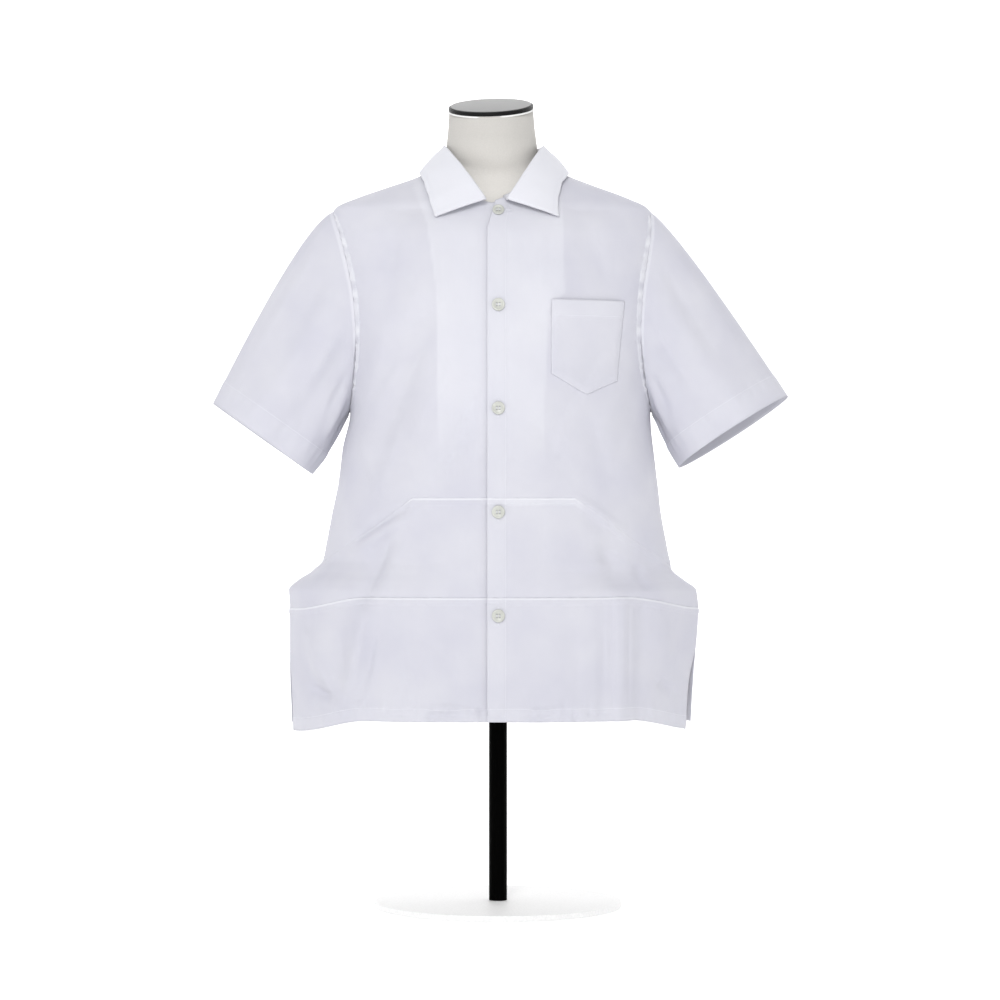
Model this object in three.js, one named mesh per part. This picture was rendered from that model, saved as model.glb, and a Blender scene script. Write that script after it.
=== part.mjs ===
import * as THREE from 'three';

// Short-sleeved poplin shirt on a limbless dress form with a pole and a round base plate.
// Millimetres, +Z up. The front faces -Y and +X is on the right of someone who looks at the front,
// so the wearer's left side has positive X. The origin is the middle of the base plate's underside.

// Cloth and seams
const CLOTH_WALL = 1.5;
const SEAM_GAP = 0.3;
const HALF_SEAM = SEAM_GAP / 2;
const SLOPE_SEAM = 0.2;
const ARMHOLE_GAP = 0.5;
const QUARTER_TURN = Math.PI / 2;
const SIDE_TOLERANCE = 0.001;

// Heights of the shirt
const NECK_SIDE_Z = 959.6;
const FRONT_NECK_Z = 908;
const BACK_NECK_Z = 962;
const SHOULDER_POINT_Z = 903;
const UNDERARM_Z = 642;
const WAIST_SEAM_Z = 530.5;
const WING_CORNER_Z = 441;
const BAND_SEAM_Z = 405;
const FRONT_HEM_Z = 249;
const BACK_HEM_Z = 252;

// The band seam and the hem hang lower at the sides, from this distance off the middle outwards
const DROP_START_X = 165;
const DROP_END_X = 268;
const BAND_SEAM_DROP = 17;
const FRONT_HEM_DROP = 20;
const BACK_HEM_DROP = 12;

// Front opening: the wearer's left front lies on top
const PLACKET_EDGE_X = -13.8;
const UNDERLAP_EDGE_X = 11;
const UNDERLAP_RAMP = 12;
const OPENING_MIDDLE_X = -1.5;
const UNDERLAP_SLACK = 0.6;
const CORNER_CUT_Z = 874;
const CORNER_CUT_X = 10;

// Horizontal sections of the shirt's body from the hem up. The section is an ellipse where round is 1
// and squarer below 1. blade is 1 where front and back meet in a sharp side edge, and 0 elsewhere.
const BODY_SECTIONS = [
  { z: 228, halfWidth: 258, shift: -9, front: 147, back: 132, round: 1, blade: 1 },
  { z: 300, halfWidth: 262, shift: -8, front: 146, back: 130, round: 1, blade: 1 },
  { z: 388, halfWidth: 265.5, shift: -5, front: 144, back: 127, round: 1, blade: 1 },
  { z: 411, halfWidth: 265, shift: -7, front: 143.5, back: 127, round: 1, blade: 0.9 },
  { z: 424, halfWidth: 251, shift: -9, front: 143.5, back: 127, round: 1, blade: 0.6 },
  { z: 437, halfWidth: 233, shift: -7, front: 143.5, back: 127, round: 1, blade: 0.25 },
  { z: 450, halfWidth: 225.5, shift: -2, front: 143.5, back: 127, round: 1, blade: 0 },
  { z: 502, halfWidth: 215, shift: -2, front: 144, back: 125, round: 1, blade: 0 },
  { z: 554, halfWidth: 206.7, shift: 0, front: 145, back: 124, round: 1, blade: 0 },
  { z: 593, halfWidth: 202, shift: 0, front: 145, back: 126, round: 1, blade: 0 },
  { z: 642, halfWidth: 195, shift: 3, front: 144, back: 128, round: 1, blade: 0 },
  { z: 700, halfWidth: 197, shift: 1, front: 140, back: 130, round: 1, blade: 0 },
  { z: 772, halfWidth: 203, shift: 0, front: 131, back: 128, round: 0.88, blade: 0 },
  { z: 866, halfWidth: 207, shift: -3, front: 104, back: 116, round: 0.78, blade: 0 },
  { z: 903, halfWidth: 205, shift: -8, front: 83, back: 104, round: 0.76, blade: 0 },
  { z: 908, halfWidth: 201, shift: -8.5, front: 80, back: 101, round: 0.77, blade: 0 },
  { z: 918, halfWidth: 179, shift: -8, front: 72, back: 95, round: 0.8, blade: 0 },
  { z: 930.4, halfWidth: 146, shift: -7, front: 63, back: 87, round: 0.88, blade: 0 },
  { z: 944, halfWidth: 108, shift: -5, front: 53, back: 76, round: 1, blade: 0 },
  { z: 950, halfWidth: 93, shift: -5, front: 48, back: 70, round: 1, blade: 0 },
  { z: 959.6, halfWidth: 70, shift: -5, front: 38, back: 62, round: 1, blade: 0 },
  { z: 966, halfWidth: 62, shift: -5, front: 30, back: 60, round: 1, blade: 0 },
];
const BLADE_POWER = 3.6;

// Half widths of the middle tier's top edge on each side of the front
const WAIST_SEAM_RIGHT_X = 108;
const WAIST_SEAM_LEFT_X = 97;

// Armhole: how far it cuts into the quarter of the body and how the cut is spread over its height
const ARMHOLE_CUT = 0.28;
const ARMHOLE_LOW = 1.05;
const ARMHOLE_FULLNESS = 0.52;

// Large folds of the front: each is a ridge (height over 0) or a trough from one point to another
const FRONT_FOLDS = [
  { fromX: -104, fromZ: 880, toX: -78, toZ: 545, width: 26, height: 4.5 },
  { fromX: 86, fromZ: 890, toX: 66, toZ: 770, width: 24, height: 3 },
  { fromX: -88, fromZ: 770, toX: -152, toZ: 566, width: 22, height: -5 },
  { fromX: -28, fromZ: 640, toX: -72, toZ: 552, width: 17, height: -3.5 },
  { fromX: 152, fromZ: 640, toX: 160, toZ: 550, width: 20, height: 4 },
  { fromX: -137, fromZ: 484, toX: -168, toZ: 402, width: 15, height: -5 },
  { fromX: 137, fromZ: 478, toX: 150, toZ: 425, width: 15, height: -5 },
  { fromX: 155, fromZ: 410, toX: 155, toZ: 240, width: 15, height: 6 },
  { fromX: 184, fromZ: 400, toX: 181, toZ: 240, width: 13, height: -4 },
  { fromX: -238, fromZ: 356, toX: -218, toZ: 292, width: 14, height: 4 },
  { fromX: -166, fromZ: 392, toX: -186, toZ: 290, width: 15, height: 6 },
  { fromX: -228, fromZ: 300, toX: -205, toZ: 278, width: 12, height: -5 },
];

// Large folds of the back, of the same kind
const BACK_FOLDS = [
  { fromX: -70, fromZ: 880, toX: -92, toZ: 560, width: 30, height: 4 },
  { fromX: 74, fromZ: 860, toX: 96, toZ: 600, width: 28, height: 4.5 },
  { fromX: -30, fromZ: 700, toX: 12, toZ: 470, width: 24, height: -4 },
  { fromX: 160, fromZ: 520, toX: 190, toZ: 410, width: 18, height: -5 },
  { fromX: -158, fromZ: 500, toX: -182, toZ: 405, width: 18, height: -4.5 },
  { fromX: -150, fromZ: 395, toX: -158, toZ: 250, width: 18, height: 5 },
  { fromX: 120, fromZ: 395, toX: 132, toZ: 250, width: 18, height: 5 },
  { fromX: 40, fromZ: 390, toX: 30, toZ: 250, width: 22, height: -3 },
];

// Vent at the lower end of each side seam: how far the front edge stands back from the back edge,
// and the share of the front band at which that begins
const VENT_TOP_Z = 345;
const VENT_RISE = 70;
const VENT_START = 0.8;
const VENT_OFFSET_LEFT = 7;
const VENT_OFFSET_RIGHT = 1.5;

// The neckline: how steeply it rises from the middle of the front
const NECK_CURVE = 2.7;

// Steps of turn and height over which a surface normal is taken, and the share of the quarter next
// to a side seam over which the folds fade out
const NORMAL_TURN_STEP = 0.02;
const NORMAL_Z_STEP = 2;
const FOLD_FADE = 0.28;

// Passes that settle the sloping seam's height, and the share of the way taken in each
const SEAM_PASSES = 12;
const SEAM_PASS_SHARE = 0.7;

// Steps of the panels' grids
const ARMHOLE_STEPS = 10;
const INNER_COLUMNS = 4;
const OUTER_COLUMNS = 9;
const BACK_COLUMNS = 20;

// Directions of the sleeves: out along the sleeve, and out of its upper edge
const SLEEVE_AXIS_X = 0.53;
const SLEEVE_AXIS_Z = 0.85;

// In the front view each sleeve's hem runs from its outer upper end to its inner lower one.
// gape is how far the hem's front edge stands up from its back edge, half each way.
const SLEEVES = {
  right: {
    hemTopX: -370.5, hemTopZ: 653, hemLowX: -240.5, hemLowZ: 561, hemDepth: 56, gape: 2,
    topGuideX: -249.6, topGuideZ: 894.6, lowGuideX: -209, lowGuideZ: 600,
  },
  left: {
    hemTopX: 377, hemTopZ: 662, hemLowX: 234, hemLowZ: 570, hemDepth: 56, gape: 7,
    topGuideX: 229, topGuideZ: 886, lowGuideX: 212, lowGuideZ: 608,
  },
};
const SLEEVE_ROWS = [0, 0.06, 0.15, 0.27, 0.41, 0.56, 0.71, 0.86, 1];
const SLEEVE_GUIDE = 0.35;
const SLEEVE_BULGE = 9;
const SLEEVE_CLEARANCE = 2.2;
const SLEEVE_FOLD_FADE = 0.3;

// Folds along a sleeve: loop is 0 at the top, 0.5 in front, 1 below and 1.5 behind
const SLEEVE_FOLDS = [
  { loop: 0.42, width: 0.09, height: 4 },
  { loop: 0.6, width: 0.08, height: -4 },
  { loop: 0.9, width: 0.1, height: -3 },
  { loop: 1.35, width: 0.1, height: 4 },
  { loop: 1.62, width: 0.09, height: -3.5 },
];

// Collar: the roll line, the wall and the steps from the opening to the middle of the back
const COLLAR_SHIFT_FRONT = -2;
const COLLAR_SHIFT_BACK = -5.2;
const ROLL_START_ANGLE = (12 * Math.PI) / 180;
const ROLL_HALF_WIDTH = 65;
const ROLL_FRONT_DEPTH = 91;
const ROLL_BACK_DEPTH = 70;
const ROLL_FRONT_Z = 913.6;
const ROLL_SIDE_Z = 988;
const ROLL_BACK_Z = 992;
const ROLL_RADIUS = 2.8;
const COLLAR_LIFT = 4.5;
const COLLAR_CROWN = 2;
const BASE_LIFT = 2.3;
const BASE_INSET = 1.2;
const COLLAR_STEPS = 12;
const ROLL_STEP = 0.01;
const COLLAR_LEAF_SHARES = [0.34, 0.67];

// The collar's outer edge over the body, from the point at the front (at 0) to the middle of the back.
// The wearer's left point lies a little farther out.
const COLLAR_EDGE = [
  { at: 0, turn: 0.235, z: 885.7, baseTurn: 0.05 },
  { at: 0.075, turn: 0.245, z: 902, baseTurn: 0.17 },
  { at: 0.11, turn: 0.261, z: 910, baseTurn: 0.23 },
  { at: 0.15, turn: 0.303, z: 918, baseTurn: 0.3 },
  { at: 0.22, turn: 0.362, z: 926, baseTurn: 0.44 },
  { at: 0.3, turn: 0.45, z: 934, baseTurn: 0.6 },
  { at: 0.42, turn: 0.75, z: 946, baseTurn: 0.87 },
  { at: 0.52, turn: 1, z: 949, baseTurn: 1.05 },
  { at: 0.7, turn: 1.4, z: 946, baseTurn: 1.4 },
  { at: 1, turn: 2, z: 943, baseTurn: 2 },
];
const LEFT_POINT_TURN = 0.027;
const LEFT_POINT_REACH = 0.4;

// Chest pocket, with its wall, its distance from the front and its pointed lower edge
const POCKET_LEFT_X = 67;
const POCKET_TOP_RIGHT_X = 161;
const POCKET_LOW_RIGHT_X = 151;
const POCKET_TOP_Z = 781;
const POCKET_WALL = 1.3;
const POCKET_SEAT = 0.9;
const POCKET_LOW_EDGE = [
  { across: 0, z: 687 },
  { across: 0.27, z: 674 },
  { across: 0.54, z: 661 },
  { across: 0.77, z: 670 },
  { across: 1, z: 679 },
];

// Buttons
const BUTTON_X = 0.5;
const BUTTON_THICKNESS = 2.8;
const BUTTON_ROUND = 0.7;
const BUTTON_RIM_WIDTH = 2.4;
const BUTTON_DISH = 0.7;
const BUTTON_FACETS = 14;
const BUTTON_SEAT = 0.5;
const BUTTONS = [
  { name: 'button_1', z: 896.5, radius: 7.6 },
  { name: 'button_2', z: 774, radius: 8.3 },
  { name: 'button_3', z: 643.5, radius: 8.3 },
  { name: 'button_4', z: 513, radius: 8.3 },
  { name: 'button_5', z: 382.5, radius: 8.3 },
];

// Horizontal sections of the dress form
const FORM_SECTIONS = [
  { z: 292, halfWidth: 150, shift: 0, front: 98, back: 96 },
  { z: 298, halfWidth: 156, shift: 0, front: 104, back: 101 },
  { z: 380, halfWidth: 160, shift: 0, front: 107, back: 104 },
  { z: 470, halfWidth: 153, shift: 0, front: 104, back: 100 },
  { z: 560, halfWidth: 143, shift: 0, front: 100, back: 96 },
  { z: 640, halfWidth: 147, shift: 0, front: 105, back: 101 },
  { z: 740, halfWidth: 164, shift: 0, front: 108, back: 108 },
  { z: 830, halfWidth: 180, shift: -3, front: 100, back: 108 },
  { z: 880, halfWidth: 188, shift: -7, front: 85, back: 98 },
  { z: 903, halfWidth: 187, shift: -8, front: 73, back: 92 },
  { z: 912, halfWidth: 180, shift: -8, front: 68, back: 88 },
  { z: 918, halfWidth: 170, shift: -8, front: 64, back: 84 },
  { z: 930.4, halfWidth: 139.5, shift: -7, front: 55.5, back: 77 },
  { z: 944, halfWidth: 101.5, shift: -5, front: 46.5, back: 67 },
  { z: 950, halfWidth: 83.5, shift: -5, front: 47, back: 62 },
  { z: 958, halfWidth: 63.5, shift: -5.5, front: 51, back: 55 },
  { z: 968, halfWidth: 60.5, shift: -7.5, front: 56, back: 51 },
  { z: 985, halfWidth: 59, shift: -8, front: 61, back: 47 },
  { z: 1012, halfWidth: 56, shift: -8.5, front: 66, back: 42 },
];
const FORM_COLUMNS = 28;
const NECK_TOP_NARROWING = 0.97;
const ROUND_FACETS = 32;
const CAP_CENTRE = new THREE.Vector3(-9, -14, 1034);
const CAP_TILT_FORWARD = (16 * Math.PI) / 180;
const CAP_TILT_SIDE = (2 * Math.PI) / 180;
const CAP_HALF_WIDTH = 55;
const CAP_HALF_DEPTH = 55.5;
const CAP_RIM_HEIGHT = 4.6;
const CAP_TOP_HEIGHT = 1;
const CAP_TOP_INSET = 2.6;

// Base plate and pole
const PLATE_RADIUS = 160;
const PLATE_HEIGHT = 8;
const PLATE_EDGE = 1.5;
const POLE_RADIUS = 11.7;
const PLATE_FACETS = 48;

const SIDES = {
  right: { sign: -1, seamX: WAIST_SEAM_RIGHT_X, vent: VENT_OFFSET_RIGHT },
  left: { sign: 1, seamX: WAIST_SEAM_LEFT_X, vent: VENT_OFFSET_LEFT },
};

// Materials
const cloth = new THREE.MeshStandardMaterial({ color: 0xe8e7ee, roughness: 0.85, metalness: 0 });
const buttonShell = new THREE.MeshStandardMaterial({ color: 0xdcdcd2, roughness: 0.35, metalness: 0 });
const formCover = new THREE.MeshStandardMaterial({ color: 0xd6d2cd, roughness: 0.9, metalness: 0 });
const capRimPaint = new THREE.MeshStandardMaterial({ color: 0x101010, roughness: 0.4, metalness: 0.1 });
const capTopPaint = new THREE.MeshStandardMaterial({ color: 0xafafaf, roughness: 0.45, metalness: 0.2 });
const polePaint = new THREE.MeshStandardMaterial({ color: 0x0b0b0b, roughness: 0.35, metalness: 0.4 });
const platePaint = new THREE.MeshStandardMaterial({ color: 0xededed, roughness: 0.5, metalness: 0.1 });

const shirt = new THREE.Group();

// Numbers and curves

function clamp01(value) {
  return Math.min(1, Math.max(0, value));
}

function mix(a, b, share) {
  return a + (b - a) * share;
}

function smoothStep(value) {
  const s = clamp01(value);
  return s * s * (3 - 2 * s);
}

function evenSteps(count) {
  return Array.from({ length: count + 1 }, (_, i) => i / count);
}

// Steps from 0 to 1 that crowd towards both ends
function crowdedSteps(count) {
  return evenSteps(count).map((s) => (1 - Math.cos(Math.PI * s)) / 2);
}

// A curve without overshoot through one column of a table, whose rows rise in the key column
function columnCurve(rows, key, column) {
  const x = rows.map((row) => row[key]);
  const y = rows.map((row) => row[column]);
  const last = x.length - 1;
  const slope = y.slice(1).map((value, i) => (value - y[i]) / (x[i + 1] - x[i]));
  const tangent = y.map((_, i) => {
    if (i === 0) return slope[0];
    if (i === last) return slope[last - 1];
    if (slope[i - 1] * slope[i] <= 0) return 0;
    return (2 * slope[i - 1] * slope[i]) / (slope[i - 1] + slope[i]);
  });
  return (value) => {
    const at = Math.min(x[last], Math.max(x[0], value));
    let i = 0;
    while (i < last - 1 && at > x[i + 1]) i += 1;
    const step = x[i + 1] - x[i];
    const s = (at - x[i]) / step;
    const rise = y[i] * (1 + 2 * s) * (1 - s) ** 2 + y[i + 1] * s * s * (3 - 2 * s);
    return rise + step * (tangent[i] * s * (1 - s) ** 2 - tangent[i + 1] * s * s * (1 - s));
  };
}

// A closed wall through a grid of outer and inner points. Rows run along the first index and
// columns along the second; a ring closes on itself along the columns.
function wallGeometry(outer, inner, { ring = false, flip = false } = {}) {
  const rows = outer.length;
  const columns = outer[0].length;
  const positions = [...outer.flat(), ...inner.flat()].flatMap((p) => [p.x, p.y, p.z]);
  const innerStart = rows * columns;
  const index = [];
  const addQuad = (a, b, c, d) => {
    if (flip) index.push(a, c, b, a, d, c);
    else index.push(a, b, c, a, c, d);
  };
  const at = (row, column, layer) => layer + row * columns + (column % columns);
  const columnSteps = ring ? columns : columns - 1;
  for (let r = 0; r < rows - 1; r += 1) {
    for (let c = 0; c < columnSteps; c += 1) {
      addQuad(at(r, c, 0), at(r, c + 1, 0), at(r + 1, c + 1, 0), at(r + 1, c, 0));
      const i = innerStart;
      addQuad(at(r, c, i), at(r + 1, c, i), at(r + 1, c + 1, i), at(r, c + 1, i));
    }
  }
  for (let c = 0; c < columnSteps; c += 1) {
    const top = rows - 1;
    addQuad(at(0, c, 0), at(0, c, innerStart), at(0, c + 1, innerStart), at(0, c + 1, 0));
    addQuad(at(top, c, 0), at(top, c + 1, 0), at(top, c + 1, innerStart), at(top, c, innerStart));
  }
  if (!ring) {
    const end = columns - 1;
    for (let r = 0; r < rows - 1; r += 1) {
      addQuad(at(r, 0, 0), at(r + 1, 0, 0), at(r + 1, 0, innerStart), at(r, 0, innerStart));
      addQuad(at(r, end, 0), at(r, end, innerStart), at(r + 1, end, innerStart), at(r + 1, end, 0));
    }
  }
  const geometry = new THREE.BufferGeometry();
  geometry.setAttribute('position', new THREE.Float32BufferAttribute(positions, 3));
  geometry.setIndex(index);
  geometry.computeVertexNormals();
  return geometry;
}

function addMesh(name, geometry, material) {
  const mesh = new THREE.Mesh(geometry, material);
  mesh.name = name;
  shirt.add(mesh);
  return mesh;
}

// The body as one surface. turn is 0 at the middle of the front, 1 and -1 at the sides
// and 2 and -2 at the middle of the back.

const halfWidthAt = columnCurve(BODY_SECTIONS, 'z', 'halfWidth');
const shiftAt = columnCurve(BODY_SECTIONS, 'z', 'shift');
const frontDepthAt = columnCurve(BODY_SECTIONS, 'z', 'front');
const backDepthAt = columnCurve(BODY_SECTIONS, 'z', 'back');
const roundAt = columnCurve(BODY_SECTIONS, 'z', 'round');
const bladeAt = columnCurve(BODY_SECTIONS, 'z', 'blade');

function sectionPoint(turn, z) {
  const angle = turn * QUARTER_TURN;
  const across = Math.sin(angle);
  const ahead = Math.cos(angle);
  const sharp = Math.sign(ahead) * (1 - Math.abs(across) ** BLADE_POWER);
  const depth = ahead > 0 ? frontDepthAt(z) : backDepthAt(z);
  const even = Math.sign(ahead) * Math.abs(ahead) ** roundAt(z);
  const profile = mix(even, sharp, bladeAt(z));
  return new THREE.Vector3(shiftAt(z) + halfWidthAt(z) * across, -depth * profile, z);
}

function surfaceNormal(pointAt, turn, z) {
  const alongTurn = pointAt(turn + NORMAL_TURN_STEP, z).sub(pointAt(turn - NORMAL_TURN_STEP, z));
  const alongZ = pointAt(turn, z + NORMAL_Z_STEP).sub(pointAt(turn, z - NORMAL_Z_STEP));
  return alongTurn.cross(alongZ).normalize();
}

function foldHeight(folds, x, z) {
  let total = 0;
  for (const fold of folds) {
    const dx = fold.toX - fold.fromX;
    const dz = fold.toZ - fold.fromZ;
    const length = Math.hypot(dx, dz);
    const along = ((x - fold.fromX) * dx + (z - fold.fromZ) * dz) / length;
    const off = ((x - fold.fromX) * dz - (z - fold.fromZ) * dx) / length;
    const end = Math.min(along, length - along);
    const fade = smoothStep(0.5 + end / (2 * fold.width));
    total += fold.height * fade * Math.exp(-((off / fold.width) ** 2));
  }
  return total;
}

// The body's outer surface with its large folds, which fade out at the side and shoulder seams
function bodyPoint(turn, z) {
  const point = sectionPoint(turn, z);
  const ahead = Math.cos(turn * QUARTER_TURN);
  const height = foldHeight(ahead > 0 ? FRONT_FOLDS : BACK_FOLDS, point.x, z);
  const shown = height * smoothStep(Math.abs(ahead) / FOLD_FADE);
  return point.addScaledVector(surfaceNormal(sectionPoint, turn, z), shown);
}

function bodyNormal(turn, z) {
  return surfaceNormal(bodyPoint, turn, z);
}

function turnOfX(x, z) {
  const share = (x - shiftAt(z)) / halfWidthAt(z);
  return Math.asin(Math.max(-1, Math.min(1, share))) / QUARTER_TURN;
}

function sideDrop(x, drop) {
  return drop * smoothStep((Math.abs(x) - DROP_START_X) / (DROP_END_X - DROP_START_X));
}

// The height of the middle tier's top edge, which slopes down from its corner to the side seam
function waistSeamZ(turn, side) {
  const wingX = halfWidthAt(WING_CORNER_Z) + side.sign * shiftAt(WING_CORNER_Z);
  const steepness = (WAIST_SEAM_Z - WING_CORNER_Z) / (wingX - side.seamX);
  let z = WAIST_SEAM_Z;
  for (let pass = 0; pass < SEAM_PASSES; pass += 1) {
    const x = Math.abs(sectionPoint(turn, z).x);
    z = mix(z, WAIST_SEAM_Z - Math.max(0, x - side.seamX) * steepness, SEAM_PASS_SHARE);
  }
  return z;
}

function bandSeamZ(turn) {
  return BAND_SEAM_Z - sideDrop(sectionPoint(turn, BAND_SEAM_Z).x, BAND_SEAM_DROP);
}

function hemZ(turn) {
  const front = Math.abs(turn) <= 1 + SIDE_TOLERANCE;
  const z = front ? FRONT_HEM_Z : BACK_HEM_Z;
  return z - sideDrop(sectionPoint(turn, z).x, front ? FRONT_HEM_DROP : BACK_HEM_DROP);
}

function frontNeckZ(turn) {
  return mix(FRONT_NECK_Z, NECK_SIDE_Z, 1 - (1 - clamp01(Math.abs(turn))) ** NECK_CURVE);
}

function backNeckZ(turn) {
  return mix(NECK_SIDE_Z, BACK_NECK_Z, smoothStep(Math.abs(turn) - 1));
}

// The share of the quarter that is left of the armhole, for a share of its height from the shoulder
function armholeTurn(down) {
  const curve = Math.sin(Math.PI * down ** ARMHOLE_LOW) ** ARMHOLE_FULLNESS;
  return 1 - ARMHOLE_CUT * (Number.isFinite(curve) ? curve : 0);
}

// Panels of the body

function copyWithOffset(point, normal, distance) {
  return point.clone().addScaledVector(normal, distance);
}

// The armhole seam at a share of its height below the shoulder point, on the front or the back.
// Its normal lies between those of body and sleeve, so that their walls meet in a mitre.
function armholeSeam(side, down, back) {
  const quarter = armholeTurn(down);
  const turn = side.sign * (back ? 2 - quarter : quarter);
  const z = mix(SHOULDER_POINT_Z, UNDERARM_Z, down);
  const loop = Math.acos(Math.max(-1, Math.min(1, 1 - 2 * down)));
  const sleeveNormal = new THREE.Vector3(
    side.sign * SLEEVE_AXIS_Z * Math.cos(loop),
    (back ? 1 : -1) * Math.sin(loop),
    SLEEVE_AXIS_X * Math.cos(loop),
  );
  const normal = bodyNormal(turn, z).add(sleeveNormal).normalize();
  return { point: bodyPoint(turn, z), normal, turn, z };
}

// Rows of an upper body panel's side edge, from the corner of the waist seam to the neck
function sideRows(sideCount, armholeCount, shoulderCount) {
  const rows = [];
  for (const s of evenSteps(sideCount).slice(0, sideCount)) {
    rows.push({ z: mix(WING_CORNER_Z, UNDERARM_Z, s), quarter: 1 });
  }
  for (const s of crowdedSteps(armholeCount)) {
    const down = 1 - s;
    rows.push({ z: mix(SHOULDER_POINT_Z, UNDERARM_Z, down), quarter: armholeTurn(down), down });
  }
  for (const s of evenSteps(shoulderCount).slice(1)) {
    rows.push({ z: mix(SHOULDER_POINT_Z, NECK_SIDE_Z, s), quarter: 1 });
  }
  const height = NECK_SIDE_Z - WING_CORNER_Z;
  return rows.map((row) => ({ ...row, share: (row.z - WING_CORNER_Z) / height }));
}

// The placket edge of each front, by height. The upper left front is cut back to the neck.
function openingEdgeX(side, z) {
  if (side.sign < 0) return UNDERLAP_EDGE_X;
  return PLACKET_EDGE_X + CORNER_CUT_X * clamp01((z - CORNER_CUT_Z) / (FRONT_NECK_Z - CORNER_CUT_Z));
}

// How far a front lies below the body's surface where it passes under the placket
function underlapDepth(side, x) {
  if (side.sign > 0) return 0;
  const depth = CLOTH_WALL + SEAM_GAP + UNDERLAP_SLACK;
  return depth * smoothStep((x - PLACKET_EDGE_X + UNDERLAP_RAMP) / UNDERLAP_RAMP);
}

// Columns of a front panel from the opening to the side. The first ones keep their distance from
// the middle, and share spreads the others over what is left of the panel.
function frontColumns(side) {
  const fixed = side.sign < 0 ? [UNDERLAP_EDGE_X, OPENING_MIDDLE_X, PLACKET_EDGE_X - SLOPE_SEAM] : [null];
  if (side.sign < 0) fixed.push(PLACKET_EDGE_X - UNDERLAP_RAMP);
  else fixed.push(OPENING_MIDDLE_X, UNDERLAP_EDGE_X);
  const innerX = fixed[fixed.length - 1];
  const innerTurn = turnOfX(innerX, WAIST_SEAM_Z);
  const cornerTurn = turnOfX(side.sign * side.seamX, WAIST_SEAM_Z);
  const cornerShare = (cornerTurn - innerTurn) / (side.sign - innerTurn);
  const columns = fixed.map((x) => ({ x, share: 0 }));
  for (const s of evenSteps(INNER_COLUMNS).slice(1)) columns.push({ x: innerX, share: s * cornerShare });
  for (const s of evenSteps(OUTER_COLUMNS).slice(1)) {
    columns.push({ x: innerX, share: mix(cornerShare, 1, s) });
  }
  return columns;
}

function columnTurn(side, column, z, quarter) {
  const fixedTurn = turnOfX(column.x ?? openingEdgeX(side, z), z);
  return mix(fixedTurn, side.sign * quarter, column.share);
}

// A front panel. For each column and row spotAt gives the turn and height on the body, and the
// wall's own normal or a shift where it needs one.
function frontPanel(name, side, columns, rows, spotAt) {
  const outer = [];
  const inner = [];
  rows.forEach((row) => {
    const outerRow = [];
    const innerRow = [];
    columns.forEach((column) => {
      const spot = spotAt(column, row);
      const normal = spot.normal ?? bodyNormal(spot.turn, spot.z);
      const point = bodyPoint(spot.turn, spot.z);
      if (column.share === 1) point.y -= HALF_SEAM;
      if (spot.shift) point.add(spot.shift);
      point.addScaledVector(normal, -underlapDepth(side, point.x));
      outerRow.push(point);
      innerRow.push(copyWithOffset(point, normal, -CLOTH_WALL));
    });
    outer.push(outerRow);
    inner.push(innerRow);
  });
  addMesh(name, wallGeometry(outer, inner, { flip: side.sign < 0 }), cloth);
}

function addUpperFront(name, side) {
  const rows = sideRows(7, ARMHOLE_STEPS, 4);
  frontPanel(name, side, frontColumns(side), rows, (column, row) => {
    const low = waistSeamZ(columnTurn(side, column, WAIST_SEAM_Z, 1), side) + SLOPE_SEAM;
    const high = frontNeckZ(columnTurn(side, column, FRONT_NECK_Z, 1));
    const z = mix(low, high, row.share);
    const turn = columnTurn(side, column, z, row.quarter);
    const onArmhole = column.share === 1 && row.down !== undefined;
    const normal = onArmhole ? armholeSeam(side, row.down, false).normal : undefined;
    return { turn, z, normal };
  });
}

function addMiddleFront(name, side) {
  frontPanel(name, side, frontColumns(side), evenSteps(5), (column, row) => {
    const low = bandSeamZ(columnTurn(side, column, BAND_SEAM_Z, 1)) + HALF_SEAM;
    const high = waistSeamZ(columnTurn(side, column, WAIST_SEAM_Z, 1), side) - SLOPE_SEAM;
    const z = mix(low, high, row);
    return { turn: columnTurn(side, column, z, 1), z };
  });
}

function ventShift(side, share, z) {
  const low = smoothStep((VENT_TOP_Z - z) / VENT_RISE);
  const out = smoothStep((share - VENT_START) / (1 - VENT_START));
  return new THREE.Vector3(-side.sign * side.vent * low * out, 0, 0);
}

function addFrontBand(name, side) {
  frontPanel(name, side, frontColumns(side), evenSteps(7), (column, row) => {
    const guide = columnTurn(side, column, BAND_SEAM_Z, 1);
    const z = mix(hemZ(guide), bandSeamZ(guide) - HALF_SEAM, row);
    return { turn: columnTurn(side, column, z, 1), z, shift: ventShift(side, column.share, z) };
  });
}

// The back panels run from the wearer's left side seam round to the right one
function backPanel(name, columns, rows, pointFor) {
  const outer = [];
  const inner = [];
  rows.forEach((row) => {
    const spots = columns.map((share) => pointFor(share, row));
    const points = spots.map((spot, i) => {
      const point = bodyPoint(spot.turn, spot.z);
      if (i === 0 || i === spots.length - 1) point.y += HALF_SEAM;
      return point;
    });
    outer.push(points);
    inner.push(points.map((point, i) => {
      const spot = spots[i];
      return copyWithOffset(point, spot.normal ?? bodyNormal(spot.turn, spot.z), -CLOTH_WALL);
    }));
  });
  addMesh(name, wallGeometry(outer, inner), cloth);
}

// The side whose seams a back column follows, for a turn that runs from 1 to 3
function sideOfTurn(turn) {
  return turn < 2 ? SIDES.left : SIDES.right;
}

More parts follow.
